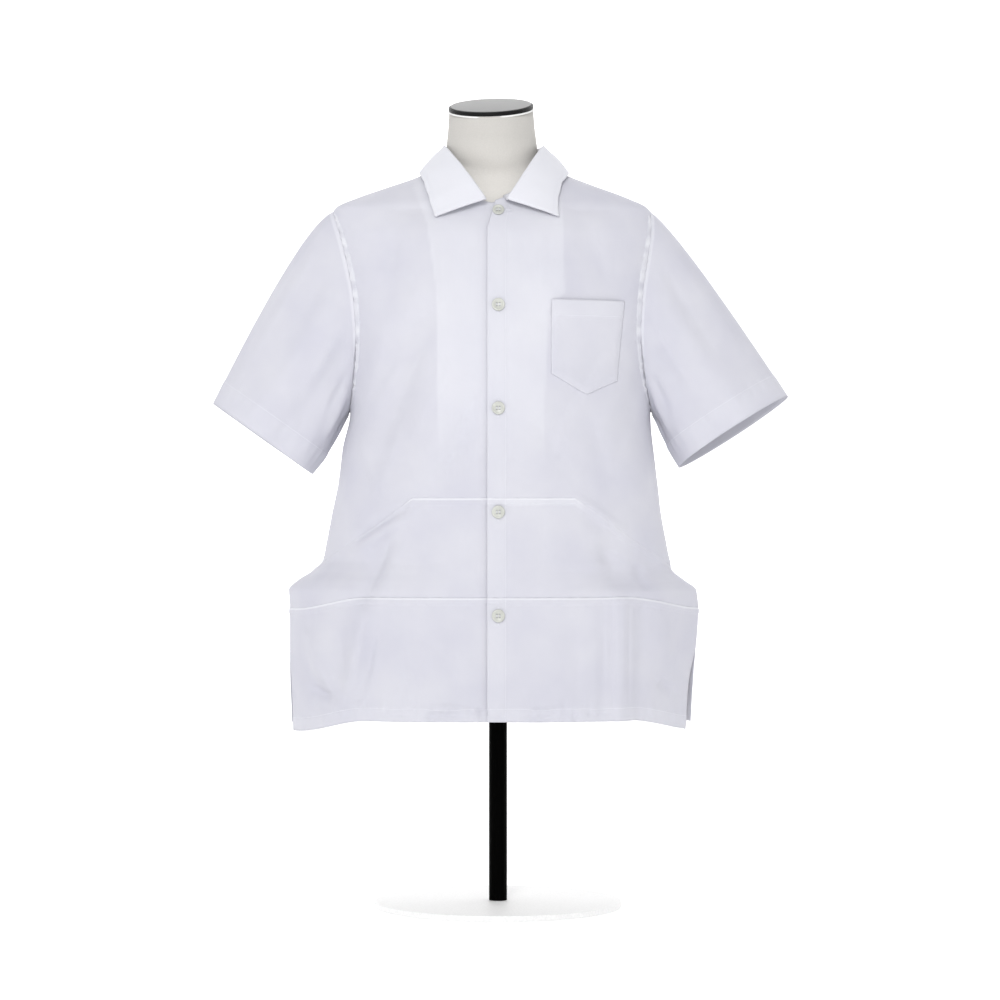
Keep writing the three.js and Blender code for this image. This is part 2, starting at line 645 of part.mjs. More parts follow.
function addUpperBack(name) {
  const rows = sideRows(7, ARMHOLE_STEPS, 4);
  backPanel(name, evenSteps(BACK_COLUMNS), rows, (share, row) => {
    const guide = mix(1, 3, share);
    const low = waistSeamZ(guide, sideOfTurn(guide)) + SLOPE_SEAM;
    const z = mix(low, backNeckZ(guide > 2 ? 4 - guide : guide), row.share);
    const turn = mix(2 - row.quarter, 2 + row.quarter, share);
    const onArmhole = row.down !== undefined && (share === 0 || share === 1);
    const side = share === 0 ? SIDES.left : SIDES.right;
    return { turn, z, normal: onArmhole ? armholeSeam(side, row.down, true).normal : undefined };
  });
}

function addMiddleBack(name) {
  backPanel(name, evenSteps(BACK_COLUMNS), evenSteps(5), (share, row) => {
    const turn = mix(1, 3, share);
    const high = waistSeamZ(turn, sideOfTurn(turn)) - SLOPE_SEAM;
    return { turn, z: mix(bandSeamZ(turn) + HALF_SEAM, high, row) };
  });
}

function addBackBand(name) {
  backPanel(name, evenSteps(BACK_COLUMNS), evenSteps(6), (share, row) => {
    const turn = mix(1, 3, share);
    return { turn, z: mix(hemZ(turn), bandSeamZ(turn) - HALF_SEAM, row) };
  });
}

addUpperFront('front_right', SIDES.right);
addUpperFront('front_left', SIDES.left);
addMiddleFront('mid_right', SIDES.right);
addMiddleFront('mid_left', SIDES.left);
addFrontBand('band_right', SIDES.right);
addFrontBand('band_left', SIDES.left);
addUpperBack('back_body');
addMiddleBack('back_mid');
addBackBand('back_band');

// Sleeves

function armholeLoop(side) {
  const front = crowdedSteps(ARMHOLE_STEPS).map((down) => armholeSeam(side, down, false));
  const back = crowdedSteps(ARMHOLE_STEPS).map((down) => armholeSeam(side, down, true));
  const seams = [...front, ...back.reverse().slice(1, ARMHOLE_STEPS)];
  return seams.map((seam, i) => {
    const next = seams[(i + 1) % seams.length].point;
    const before = seams[(i + seams.length - 1) % seams.length].point;
    const along = next.clone().sub(before);
    const away = seam.normal.clone().cross(along).multiplyScalar(side.sign).normalize();
    return { start: copyWithOffset(seam.point, away, ARMHOLE_GAP), normal: seam.normal };
  });
}

// Moves a point straight out of the body's section at its height, until it is clear by a distance
function keepClearOfBody(point, distance) {
  const acrossShare = (point.x - shiftAt(point.z)) / (halfWidthAt(point.z) + distance);
  const depth = point.y < 0 ? frontDepthAt(point.z) : backDepthAt(point.z);
  const reach = Math.hypot(acrossShare, point.y / (depth + distance));
  if (reach < 1) {
    point.x = shiftAt(point.z) + (point.x - shiftAt(point.z)) / reach;
    point.y /= reach;
  }
}

function sleeveFold(loop, along) {
  let height = 0;
  for (const fold of SLEEVE_FOLDS) {
    height += fold.height * Math.exp(-(((loop - fold.loop) / fold.width) ** 2));
  }
  return height * smoothStep(along / SLEEVE_FOLD_FADE);
}

function sleeveOuterPoints(side, sleeve) {
  const loop = armholeLoop(side);
  const count = loop.length;
  const top = new THREE.Vector3(sleeve.hemTopX, 0, sleeve.hemTopZ);
  const low = new THREE.Vector3(sleeve.hemLowX, 0, sleeve.hemLowZ);
  const centre = top.clone().add(low).multiplyScalar(0.5);
  const halfHem = top.clone().sub(centre);
  const axis = new THREE.Vector3(side.sign * halfHem.z, 0, -side.sign * halfHem.x).normalize();
  const hemPoint = (angle) => centre.clone()
    .addScaledVector(halfHem, Math.cos(angle))
    .addScaledVector(axis, -sleeve.gape * Math.sin(angle))
    .add(new THREE.Vector3(0, -sleeve.hemDepth * Math.sin(angle), 0));
  const offsetTo = (x, z, start, end) => {
    const straight = start.clone().lerp(end, SLEEVE_GUIDE);
    return new THREE.Vector3(x, 0, z).sub(straight);
  };
  const topOffset = offsetTo(sleeve.topGuideX, sleeve.topGuideZ, loop[0].start, top);
  const lowOffset = offsetTo(sleeve.lowGuideX, sleeve.lowGuideZ, loop[count / 2].start, low);
  return SLEEVE_ROWS.map((along) => loop.map((seam, i) => {
    const angle = (2 * Math.PI * i) / count;
    const end = hemPoint(angle);
    const upper = Math.max(0, Math.cos(angle)) ** 2;
    const lower = Math.max(0, -Math.cos(angle)) ** 2;
    const guide = seam.start.clone().lerp(end, SLEEVE_GUIDE)
      .addScaledVector(topOffset, upper)
      .addScaledVector(lowOffset, lower)
      .add(new THREE.Vector3(0, -SLEEVE_BULGE * Math.sin(angle), 0));
    const curve = new THREE.QuadraticBezierCurve3(seam.start, guide, end);
    const point = curve.getPoint(along);
    const out = new THREE.Vector3(
      side.sign * SLEEVE_AXIS_Z * Math.cos(angle),
      -Math.sin(angle),
      SLEEVE_AXIS_X * Math.cos(angle),
    );
    point.addScaledVector(out, sleeveFold((2 * i) / count, along));
    if (along > 0) keepClearOfBody(point, SLEEVE_CLEARANCE);
    return point;
  }));
}

// Normals of a grid of points from their neighbours; columns close on themselves in a ring
function gridNormals(points, ring, sign) {
  const rows = points.length;
  const columns = points[0].length;
  return points.map((row, r) => row.map((_, c) => {
    const before = ring ? (c + columns - 1) % columns : Math.max(0, c - 1);
    const after = ring ? (c + 1) % columns : Math.min(columns - 1, c + 1);
    const along = row[after].clone().sub(row[before]);
    const up = points[Math.min(rows - 1, r + 1)][c].clone().sub(points[Math.max(0, r - 1)][c]);
    return along.cross(up).multiplyScalar(sign).normalize();
  }));
}

function addSleeve(name, side, sleeve) {
  const outer = sleeveOuterPoints(side, sleeve);
  const normals = gridNormals(outer, true, side.sign);
  normals[0] = armholeLoop(side).map((seam) => seam.normal);
  const inner = outer.map((row, r) => row.map((point, c) => copyWithOffset(point, normals[r][c], -CLOTH_WALL)));
  addMesh(name, wallGeometry(outer, inner, { ring: true, flip: side.sign < 0 }), cloth);
}

addSleeve('sleeve_right', SIDES.right, SLEEVES.right);
addSleeve('sleeve_left', SIDES.left, SLEEVES.left);

// Collar: one piece from the neckline up inside, over the roll line and down to its outer edge

const collarTurnAt = columnCurve(COLLAR_EDGE, 'at', 'turn');
const collarEdgeZAt = columnCurve(COLLAR_EDGE, 'at', 'z');
const collarBaseTurnAt = columnCurve(COLLAR_EDGE, 'at', 'baseTurn');

// The collar's roll line on one side of the neck, from the opening (share 0) to the middle of the back
function rollPoint(sign, share) {
  const angle = mix(ROLL_START_ANGLE, Math.PI, share);
  const across = Math.sin(angle);
  const ahead = Math.cos(angle);
  const frontShare = (across - Math.sin(ROLL_START_ANGLE)) / (1 - Math.sin(ROLL_START_ANGLE));
  const z = ahead > 0 ? mix(ROLL_FRONT_Z, ROLL_SIDE_Z, frontShare) : mix(ROLL_BACK_Z, ROLL_SIDE_Z, across);
  const shift = mix(COLLAR_SHIFT_FRONT, COLLAR_SHIFT_BACK, smoothStep(share / 0.4));
  const depth = ahead > 0 ? ROLL_FRONT_DEPTH : ROLL_BACK_DEPTH;
  return new THREE.Vector3(shift + sign * ROLL_HALF_WIDTH * across, -depth * ahead, z);
}

// Points of the collar across one station of one side, from the neckline to the outer edge
function collarSection(sign, at) {
  const roll = rollPoint(sign, at);
  const ahead = rollPoint(sign, Math.min(1, at + ROLL_STEP));
  const behind = rollPoint(sign, Math.max(0, at - ROLL_STEP));
  const along = ahead.sub(behind).setZ(0).normalize();
  const out = new THREE.Vector3(sign * along.y, -sign * along.x, 0);
  const up = new THREE.Vector3(0, 0, 1);
  const baseTurn = sign * collarBaseTurnAt(at);
  const baseZ = Math.abs(baseTurn) > 1 ? backNeckZ(baseTurn) : frontNeckZ(baseTurn);
  const base = bodyPoint(baseTurn, baseZ).addScaledVector(up, BASE_LIFT).addScaledVector(out, -BASE_INSET);
  const rollIn = roll.clone().addScaledVector(out, -ROLL_RADIUS).addScaledVector(up, -ROLL_RADIUS);
  const rollOut = roll.clone().addScaledVector(out, ROLL_RADIUS).addScaledVector(up, -ROLL_RADIUS);
  const farther = sign > 0 ? LEFT_POINT_TURN * (1 - smoothStep(at / LEFT_POINT_REACH)) : 0;
  const edgeTurn = sign * (collarTurnAt(at) + farther);
  const edgeZ = collarEdgeZAt(at);
  const edge = copyWithOffset(bodyPoint(edgeTurn, edgeZ), bodyNormal(edgeTurn, edgeZ), COLLAR_LIFT);
  const leaf = COLLAR_LEAF_SHARES.map((share) => rollOut.clone().lerp(edge, share)
    .addScaledVector(out, COLLAR_CROWN));
  return [base, base.clone().lerp(rollIn, 0.5), rollIn, roll, rollOut, ...leaf, edge];
}

function addCollar(name) {
  const stations = evenSteps(COLLAR_STEPS);
  const rightSide = stations.map((at) => collarSection(-1, at));
  const leftSide = stations.map((at) => collarSection(1, at));
  const sections = [...rightSide, ...leftSide.reverse().slice(1)];
  const outer = sections[0].map((_, r) => sections.map((points) => points[r]));
  const normals = gridNormals(outer, false, 1);
  const inner = outer.map((row, r) => row.map((point, c) => copyWithOffset(point, normals[r][c], -CLOTH_WALL)));
  addMesh(name, wallGeometry(outer, inner), cloth);
}

addCollar('collar');

// Chest pocket with a pointed lower edge, on the wearer's left front

function addPocket(name) {
  const rows = evenSteps(4);
  const outer = [];
  const inner = [];
  rows.forEach((row) => {
    const outerRow = [];
    const innerRow = [];
    POCKET_LOW_EDGE.forEach(({ across, z: lowZ }) => {
      const z = mix(lowZ, POCKET_TOP_Z, row);
      const x = mix(POCKET_LEFT_X, mix(POCKET_LOW_RIGHT_X, POCKET_TOP_RIGHT_X, row), across);
      const turn = turnOfX(x, z);
      const normal = bodyNormal(turn, z);
      const point = bodyPoint(turn, z);
      innerRow.push(copyWithOffset(point, normal, POCKET_SEAT));
      outerRow.push(copyWithOffset(point, normal, POCKET_SEAT + POCKET_WALL));
    });
    outer.push(outerRow);
    inner.push(innerRow);
  });
  addMesh(name, wallGeometry(outer, inner), cloth);
}

addPocket('chest_pocket');

// Buttons down the middle of the placket

function addButton({ name, z, radius }) {
  const dishRadius = radius - BUTTON_RIM_WIDTH;
  const profile = [
    [0, 0],
    [radius - BUTTON_ROUND, 0],
    [radius, BUTTON_ROUND],
    [radius, BUTTON_THICKNESS - BUTTON_ROUND],
    [radius - BUTTON_ROUND, BUTTON_THICKNESS],
    [dishRadius, BUTTON_THICKNESS],
    [dishRadius - BUTTON_DISH, BUTTON_THICKNESS - BUTTON_DISH],
    [0, BUTTON_THICKNESS - BUTTON_DISH],
  ].map(([r, h]) => new THREE.Vector2(r, h));
  const turn = turnOfX(BUTTON_X, z);
  const normal = bodyNormal(turn, z);
  const mesh = addMesh(name, new THREE.LatheGeometry(profile, BUTTON_FACETS), buttonShell);
  mesh.position.copy(copyWithOffset(bodyPoint(turn, z), normal, BUTTON_SEAT));
  mesh.quaternion.setFromUnitVectors(new THREE.Vector3(0, 1, 0), normal);
}

BUTTONS.forEach(addButton);

// Dress form: a smooth whole torso whose shoulders carry the shirt, with a neck cut on the slant

const capNormal = new THREE.Vector3(0, 0, 1)
  .applyAxisAngle(new THREE.Vector3(1, 0, 0), CAP_TILT_FORWARD)
  .applyAxisAngle(new THREE.Vector3(0, 1, 0), -CAP_TILT_SIDE);
const capTurn = new THREE.Quaternion().setFromUnitVectors(new THREE.Vector3(0, 1, 0), capNormal);

// A closed body through a stack of rings with the same number of points, counter-clockwise from above
function ringStackGeometry(rings) {
  const count = rings[0].length;
  const middle = (ring) => ring.reduce((sum, p) => sum.add(p), new THREE.Vector3()).divideScalar(count);
  const points = [...rings.flat(), middle(rings[0]), middle(rings[rings.length - 1])];
  const lowMiddle = rings.length * count;
  const index = [];
  for (let c = 0; c < count; c += 1) {
    const next = (c + 1) % count;
    for (let r = 0; r < rings.length - 1; r += 1) {
      const [a, b] = [r * count + c, r * count + next];
      index.push(a, b, b + count, a, b + count, a + count);
    }
    const top = (rings.length - 1) * count;
    index.push(lowMiddle, next, c, lowMiddle + 1, top + c, top + next);
  }
  const geometry = new THREE.BufferGeometry();
  const positions = points.flatMap((p) => [p.x, p.y, p.z]);
  geometry.setAttribute('position', new THREE.Float32BufferAttribute(positions, 3));
  geometry.setIndex(index);
  geometry.computeVertexNormals();
  return geometry;
}

function addTorso(name) {
  const rings = FORM_SECTIONS.map((section) => evenSteps(FORM_COLUMNS).slice(1).map((share) => {
    const angle = 2 * Math.PI * share;
    const ahead = Math.cos(angle);
    const depth = ahead > 0 ? section.front : section.back;
    const x = section.shift + section.halfWidth * Math.sin(angle);
    return new THREE.Vector3(x, -depth * ahead, section.z);
  }));
  const lastSection = FORM_SECTIONS[FORM_SECTIONS.length - 1];
  const underCap = CAP_CENTRE.clone().addScaledVector(capNormal, -SEAM_GAP);
  const neckTop = rings[rings.length - 1].map((point) => {
    const x = underCap.x + (point.x - lastSection.shift) * NECK_TOP_NARROWING;
    const y = underCap.y + point.y + (lastSection.front - lastSection.back) / 2;
    const z = underCap.z - (capNormal.x * (x - underCap.x) + capNormal.y * (y - underCap.y)) / capNormal.z;
    return new THREE.Vector3(x, y, z);
  });
  addMesh(name, ringStackGeometry([...rings, neckTop]), formCover);
}

function addCapDisc(name, lift, height, inset, material) {
  const disc = new THREE.CylinderGeometry(1, 1, height, ROUND_FACETS);
  disc.scale(CAP_HALF_WIDTH - inset, 1, CAP_HALF_DEPTH - inset);
  const mesh = addMesh(name, disc, material);
  mesh.quaternion.copy(capTurn);
  mesh.position.copy(copyWithOffset(CAP_CENTRE, capNormal, lift + height / 2));
}

addTorso('form_torso');
addCapDisc('neck_cap_rim', 0, CAP_RIM_HEIGHT, 0, capRimPaint);
addCapDisc('neck_cap_top', CAP_RIM_HEIGHT + SEAM_GAP, CAP_TOP_HEIGHT, CAP_TOP_INSET, capTopPaint);

// Pole and base plate

function addPlate(name) {
  const profile = [
    [0, 0],
    [PLATE_RADIUS, 0],
    [PLATE_RADIUS, PLATE_HEIGHT - PLATE_EDGE],
    [PLATE_RADIUS - PLATE_EDGE, PLATE_HEIGHT],
    [0, PLATE_HEIGHT],
  ].map(([r, h]) => new THREE.Vector2(r, h));
  const mesh = addMesh(name, new THREE.LatheGeometry(profile, PLATE_FACETS), platePaint);
  mesh.rotation.x = Math.PI / 2;
}

function addPole(name) {
  const low = PLATE_HEIGHT + SEAM_GAP;
  const high = FORM_SECTIONS[0].z - SEAM_GAP;
  const tube = new THREE.CylinderGeometry(POLE_RADIUS, POLE_RADIUS, high - low, ROUND_FACETS);
  const mesh = addMesh(name, tube, polePaint);
  mesh.rotation.x = Math.PI / 2;
  mesh.position.z = (low + high) / 2;
}

addPlate('base_plate');
addPole('pole');

export default shirt;
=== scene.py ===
"""Short-sleeved poplin shirt on a limbless dress form with a pole and a round base plate."""

import math

import bmesh
import bpy
import numpy as np
from mathutils import Matrix, Vector


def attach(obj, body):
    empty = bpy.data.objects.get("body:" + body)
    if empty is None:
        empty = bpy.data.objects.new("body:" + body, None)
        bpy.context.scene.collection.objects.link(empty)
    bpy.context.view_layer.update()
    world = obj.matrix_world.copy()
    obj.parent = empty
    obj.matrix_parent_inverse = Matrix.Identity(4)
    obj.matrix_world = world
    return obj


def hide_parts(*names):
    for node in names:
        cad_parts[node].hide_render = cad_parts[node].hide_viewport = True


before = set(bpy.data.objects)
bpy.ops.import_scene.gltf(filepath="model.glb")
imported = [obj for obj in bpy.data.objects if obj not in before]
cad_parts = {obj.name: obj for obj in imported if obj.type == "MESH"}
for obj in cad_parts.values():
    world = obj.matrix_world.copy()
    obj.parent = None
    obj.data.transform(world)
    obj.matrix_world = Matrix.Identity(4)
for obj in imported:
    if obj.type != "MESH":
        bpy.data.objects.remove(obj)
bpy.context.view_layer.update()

MM = 0.001

# Shirt sizes, in millimetres

NECK_SIDE_Z = 959.6
FRONT_NECK_Z = 908.0
BACK_NECK_Z = 962.0
NECK_CURVE = 2.7
SHOULDER_POINT_Z = 903.0
UNDERARM_Z = 642.0
WAIST_SEAM_Z = 530.5
WING_CORNER_Z = 441.0
BAND_SEAM_Z = 405.0
FRONT_HEM_Z = 249.0
BACK_HEM_Z = 252.0
DROP_START_X = 165.0
DROP_END_X = 268.0
BAND_SEAM_DROP = 17.0
FRONT_HEM_DROP = 20.0
BACK_HEM_DROP = 12.0

PLACKET_EDGE_X = -13.8
PLACKET_WIDTH = 25.5
UNDERLAP_EDGE_X = 11.0
UNDERLAP_RAMP = 12.0
CORNER_CUT_Z = 874.0
CORNER_CUT_X = 10.0

ARMHOLE_CUT = 0.28
ARMHOLE_LOW = 1.05
ARMHOLE_FULLNESS = 0.52
ARMHOLE_GAP = 0.2
ARMHOLE_SPREAD = 2.6
BLADE_POWER = 3.6

VENT_TOP_Z = 345.0
VENT_RISE = 70.0
VENT_START = 0.8

CLOTH = 0.6
HALF_SEAM_GAP = 0.15
SEAM_TUCK = 5.0
TUCK_ROWS = [SEAM_TUCK, 2.5, 1.2]
TUCK_DEPTH = 0.8
SEAM_ALLOWANCE = 9.2
# width of the painted highlight along a seam's raised edge
SEAM_HIGHLIGHT_WIDTH = 2.4
SEAM_RISE = 0.9
SEAM_CORNER = 2.2
ARM_ALLOWANCE = 9.5
ARM_RISE = 0.55
ARM_PUCKER_INSET = 5
HEM_RISE = 0.45
UNDERLAP_DEPTH = 2.0
PLACKET_RISE = 0.45
# How white two layers of cloth look, from 0 to 1: placket, front hem, back hem, facing
PLACKET_TONE = 0.12
HEM_TONE = 0.14
BACK_HEM_TONE = 0.2
FACING_TONE = 0.34
FACING_FOOT_Z = 545.0
FACING_FADE = 130.0
HEM_DEPTH = 18.0
SLEEVE_HEM_DEPTH = 34.0

# height and x of the facing's hidden edge on the wearer's right and left
FACING_EDGE = {-1: ([640, 790, 880, 930], [-77, -79, -92, -110]), 1: ([640, 770, 790, 900], [60, 66, 86, 84])}

RIGHT = {"sign": -1, "seam_x": 108.0, "vent": 1.5}
LEFT = {"sign": 1, "seam_x": 97.0, "vent": 7.0}

# height, half width, shift, front depth, back depth, roundness, sharpness of the side edge
BODY_SECTIONS = np.array([
    (228, 258, -9, 147, 132, 1, 1),
    (300, 262, -8, 146, 130, 1, 1),
    (388, 265.5, -5, 144, 127, 1, 0.96),
    (411, 265, -7, 143.5, 127, 1, 0.86),
    (424, 251, -9, 143.5, 127, 1, 0.62),
    (437, 233, -7, 143.5, 127, 1, 0.36),
    (450, 225.5, -2, 143.5, 127, 1, 0.2),
    (476, 220, -2, 144, 126, 1, 0.07),
    (502, 215, -2, 144, 125, 1, 0),
    (554, 206.7, 0, 145, 124, 1, 0),
    (593, 202, 0, 145, 126, 1, 0),
    (642, 195, 3, 144, 128, 1, 0),
    (700, 197, 1, 140, 130, 1, 0),
    (772, 203, 0, 131, 128, 0.88, 0),
    (866, 207, -3, 104, 116, 0.78, 0),
    (903, 205, -8, 83, 104, 0.76, 0),
    (908, 201, -8.5, 80, 101, 0.77, 0),
    (918, 179, -8, 72, 95, 0.8, 0),
    (930.4, 146, -7, 63, 87, 0.88, 0),
    (944, 108, -5, 53, 76, 1, 0),
    (950, 93, -5, 48, 70, 1, 0),
    (959.6, 70, -5, 38, 62, 1, 0),
    (966, 62, -5, 30, 60, 1, 0),
])

# Large folds: from x, from z, to x, to z, width, height
FRONT_FOLDS = [
    (-104, 880, -78, 545, 26, 4.5),
    (86, 890, 66, 770, 24, 3),
    (-88, 770, -152, 566, 22, -5),
    (-28, 640, -72, 552, 17, -3.5),
    (152, 640, 160, 550, 20, 4),
    (-137, 484, -168, 402, 15, -5),
    (137, 478, 150, 425, 15, -5),
    (155, 410, 155, 240, 15, 6),
    (184, 400, 181, 240, 13, -4),
    (-238, 356, -218, 292, 14, 4),
    (-166, 392, -186, 290, 15, 6),
    (-228, 300, -205, 278, 12, -5),
]
BACK_FOLDS = [
    (-70, 880, -92, 560, 30, 4),
    (74, 860, 96, 600, 28, 4.5),
    (-30, 700, 12, 470, 24, -4),
    (160, 520, 190, 410, 18, -5),
    (-158, 500, -182, 405, 18, -4.5),
    (-150, 395, -158, 250, 18, 5),
    (120, 395, 132, 250, 18, 5),
    (40, 390, 30, 250, 22, -3),
]

# Creases: start x, z, bend x, z, end x, z, width, height, width of the softer side over the other's
FRONT_CREASES = [
    (-119, 516, -152, 498, -186, 472, 4.5, -4.8, 1.6),
    (-112, 507, -148, 486, -180, 462, 6.5, 4.0, 1.5),
    (-137, 478, -150, 446, -168, 404, 6, -3.6, 1.7),
    (-122, 470, -136, 440, -146, 408, 8, 2.5, 1.4),
    (97, 533, 122, 516, 158, 490, 6, 2.8, 1.6),
    (104, 520, 126, 500, 150, 482, 7, -2.9, 1.5),
    (176, 446, 182, 432, 192, 414, 5.5, -3.6, 1.6),
    (128, 462, 138, 456, 150, 452, 7, -3.6, 1.5),
    (198, 470, 205, 452, 216, 436, 6, 2.9, 1.5),
    (-242, 352, -226, 315, -204, 276, 7, 6.5, 1.6),
    (-239, 290, -226, 282, -209, 277, 5, -6.5, 1.5),
    (-167, 392, -174, 345, -188, 286, 7, 4.0, 1.6),
    (-158, 356, -162, 320, -174, 280, 5.5, -4.4, 1.8),
    (-205, 372, -200, 335, -196, 300, 9, -3.9, 1.4),
    (-120, 380, -112, 320, -116, 262, 12, 2.0, 1.5),
    (-60, 372, -64, 320, -58, 265, 13, -1.6, 1.3),
    (144.5, 402, 144.5, 330, 145, 252, 2.6, -2.2, 2.0),
    (167, 402, 167, 330, 166, 252, 2.6, -2.2, 2.2),
    (134, 396, 133, 320, 136, 262, 6, -2.5, 1.4),
    (208, 296, 216, 288, 226, 284, 6, -5.4, 1.6),
    (206, 380, 214, 340, 222, 300, 10, 2.5, 1.4),
    (60, 380, 66, 320, 62, 262, 14, 1.6, 1.4),
    (95, 376, 100, 330, 99, 270, 10, -1.5, 1.4),
    (-86, 760, -118, 670, -156, 572, 10, -2.1, 2.0),
    (-30, 636, -46, 596, -76, 556, 8, -2.0, 1.8),
    (-140, 760, -152, 700, -176, 640, 9, 2.1, 1.6),
    (-118, 640, -128, 600, -150, 552, 9, 2.0, 1.6),
    (-60, 700, -92, 640, -122, 590, 10, 1.8, 1.7),
    (40, 640, 70, 600, 88, 556, 12, -1.6, 1.6),
    (112, 640, 128, 600, 140, 556, 9, -2.0, 1.6),
    (170, 640, 158, 610, 152, 580, 8, -2.4, 1.6),
    (60, 880, 52, 840, 50, 795, 9, 1.8, 1.7),
    (112, 880, 128, 840, 140, 795, 10, -1.8, 1.6),
    (-128, 880, -142, 820, -146, 760, 9, -2.0, 1.6),
    (-62, 880, -52, 820, -54, 760, 11, -1.5, 1.5),
    (-150, 905, -120, 896, -86, 900, 7, -1.5, 1.5),
    (150, 905, 122, 896, 92, 900, 7, -1.5, 1.5),
    (-186, 600, -176, 560, -150, 520, 8, -2.5, 1.6),
    (186, 600, 178, 566, 172, 530, 8, 2.1, 1.6),
    (-40, 520, -46, 470, -42, 415, 12, 1.6, 1.4),
    (52, 520, 56, 470, 50, 415, 12, -1.6, 1.4),
    (-18, 690, -42, 640, -72, 575, 9, -2.4, 1.9),
    (-87, 775, -130, 715, -172, 650, 10, -2.5, 1.9),
    (-150, 874, -140, 830, -126, 782, 20, -2.6, 1.5),
    (137, 730, 104, 668, 66, 612, 9, -2.4, 1.8),
    (178, 716, 150, 650, 120, 596, 9, 1.9, 1.7),
    (-79, 880, -78, 780, -77, 660, 3.5, 0.9, 1.5),
    (-88, 257, -66, 261, -44, 256, 3.6, -3.8, 1.3),
    (-82, 267, -60, 269, -40, 264, 3.2, 2.2, 1.3),
    (-34, 262, -22, 264, -10, 259, 3.2, -3.4, 1.2),
    (34, 255, 52, 251, 68, 256, 3.4, -3.5, 1.3),
    (42, 265, 58, 262, 76, 267, 3.2, 2.0, 1.3),
    (112, 262, 124, 258, 140, 262, 3.4, -2.8, 1.3),
    (-150, 262, -132, 258, -112, 261, 3.4, -2.7, 1.3),
    (-84, 262, -83, 256, -82, 248, 4, -2.4, 1.3),
    (-24, 264, -22, 257, -20, 248, 4, -2.7, 1.3),
    (3, 262, 3.5, 256, 4, 248, 3, -3.2, 1.2),
    (96, 262, 97, 256, 99, 248, 3.5, -3.2, 1.3),
]
BACK_CREASES = [
    (-60, 900, -80, 800, -88, 640, 14, 1.4, 1.5),
    (30, 900, 40, 800, 36, 660, 16, -1.1, 1.5),
    (110, 860, 132, 780, 150, 690, 12, -1.6, 1.6),
    (-120, 860, -138, 780, -158, 690, 12, -1.5, 1.6),
    (-30, 700, -10, 600, 14, 480, 12, -1.4, 1.8),
    (60, 640, 84, 560, 92, 480, 12, 1.3, 1.6),
    (150, 560, 172, 500, 194, 430, 9, -1.8, 1.7),
    (-150, 540, -168, 480, -190, 420, 9, -1.8, 1.7),
    (-96, 520, -104, 470, -110, 412, 11, 1.3, 1.5),
    (-152, 392, -156, 320, -160, 258, 8, 1.6, 1.7),
    (122, 392, 128, 320, 134, 258, 8, 1.6, 1.7),
    (200, 390, 210, 330, 216, 270, 9, -1.8, 1.5),
    (-208, 390, -214, 330, -222, 270, 9, -1.8, 1.5),
    (0, 390, 6, 320, 2, 262, 13, 0.9, 1.5),
    (-70, 385, -66, 320, -72, 262, 12, -0.9, 1.5),
]


# Numbers and curves

def mix(a, b, share):
    return a + (b - a) * share


def smooth_step(value):
    s = np.clip(value, 0, 1)
    return s * s * (3 - 2 * s)


def column_curve(keys, values):
    """A curve without overshoot through rows whose keys rise."""
    keys = np.asarray(keys, float)
    values = np.asarray(values, float)
    slope = np.diff(values) / np.diff(keys)
    product = slope[:-1] * slope[1:]
    total = np.where(product > 0, slope[:-1] + slope[1:], 1)
    inside = np.where(product > 0, 2 * product / total, 0)
    tangent = np.concatenate([slope[:1], inside, slope[-1:]])

    def curve(value):
        at = np.clip(value, keys[0], keys[-1])
        i = np.clip(np.searchsorted(keys, at) - 1, 0, len(keys) - 2)
        step = keys[i + 1] - keys[i]
        s = (at - keys[i]) / step
        rise = values[i] * (1 + 2 * s) * (1 - s) ** 2 + values[i + 1] * s * s * (3 - 2 * s)
        return rise + step * (tangent[i] * s * (1 - s) ** 2 - tangent[i + 1] * s * s * (1 - s))

    return curve


half_width_at, shift_at, front_depth_at, back_depth_at, round_at, blade_at = [
    column_curve(BODY_SECTIONS[:, 0], BODY_SECTIONS[:, i]) for i in range(1, 7)]


def section_point(turn, z):
    angle = turn * math.pi / 2
    across = np.sin(angle)
    ahead = np.cos(angle)
    depth = np.where(ahead > 0, front_depth_at(z), back_depth_at(z))
    even = np.sign(ahead) * np.abs(ahead) ** round_at(z)
    sharp = np.sign(ahead) * (1 - np.abs(across) ** BLADE_POWER)
    profile = mix(even, sharp, blade_at(z))
    return np.stack([shift_at(z) + half_width_at(z) * across, -depth * profile, z + 0 * across], -1)


def unit(vectors):
    return vectors / np.maximum(np.linalg.norm(vectors, axis=-1, keepdims=True), 1e-9)


def surface_normal(point_at, turn, z):
    along_turn = point_at(turn + 0.02, z) - point_at(turn - 0.02, z)
    along_z = point_at(turn, z + 2.0) - point_at(turn, z - 2.0)
    return unit(np.cross(along_turn, along_z))


def fold_height(folds, x, z):
    total = np.zeros_like(x)
    for from_x, from_z, to_x, to_z, width, height in folds:
        dx, dz = to_x - from_x, to_z - from_z
        length = math.hypot(dx, dz)
        along = ((x - from_x) * dx + (z - from_z) * dz) / length
        off = ((x - from_x) * dz - (z - from_z) * dx) / length
        end = np.minimum(along, length - along)
        total += height * smooth_step(0.5 + end / (2 * width)) * np.exp(-((off / width) ** 2))
    return total


def body_point(turn, z):
    """The shirt's outer surface with its large folds. turn is 0 in front, 1 and -1 at the sides."""
    point = section_point(turn, z)
    ahead = np.cos(turn * math.pi / 2)
    front = fold_height(FRONT_FOLDS, point[..., 0], z)
    back = fold_height(BACK_FOLDS, point[..., 0], z)
    shown = np.where(ahead > 0, front, back) * smooth_step(np.abs(ahead) / 0.28)
    return point + surface_normal(section_point, turn, z) * shown[..., None]


def body_normal(turn, z):
    return surface_normal(body_point, turn, z)


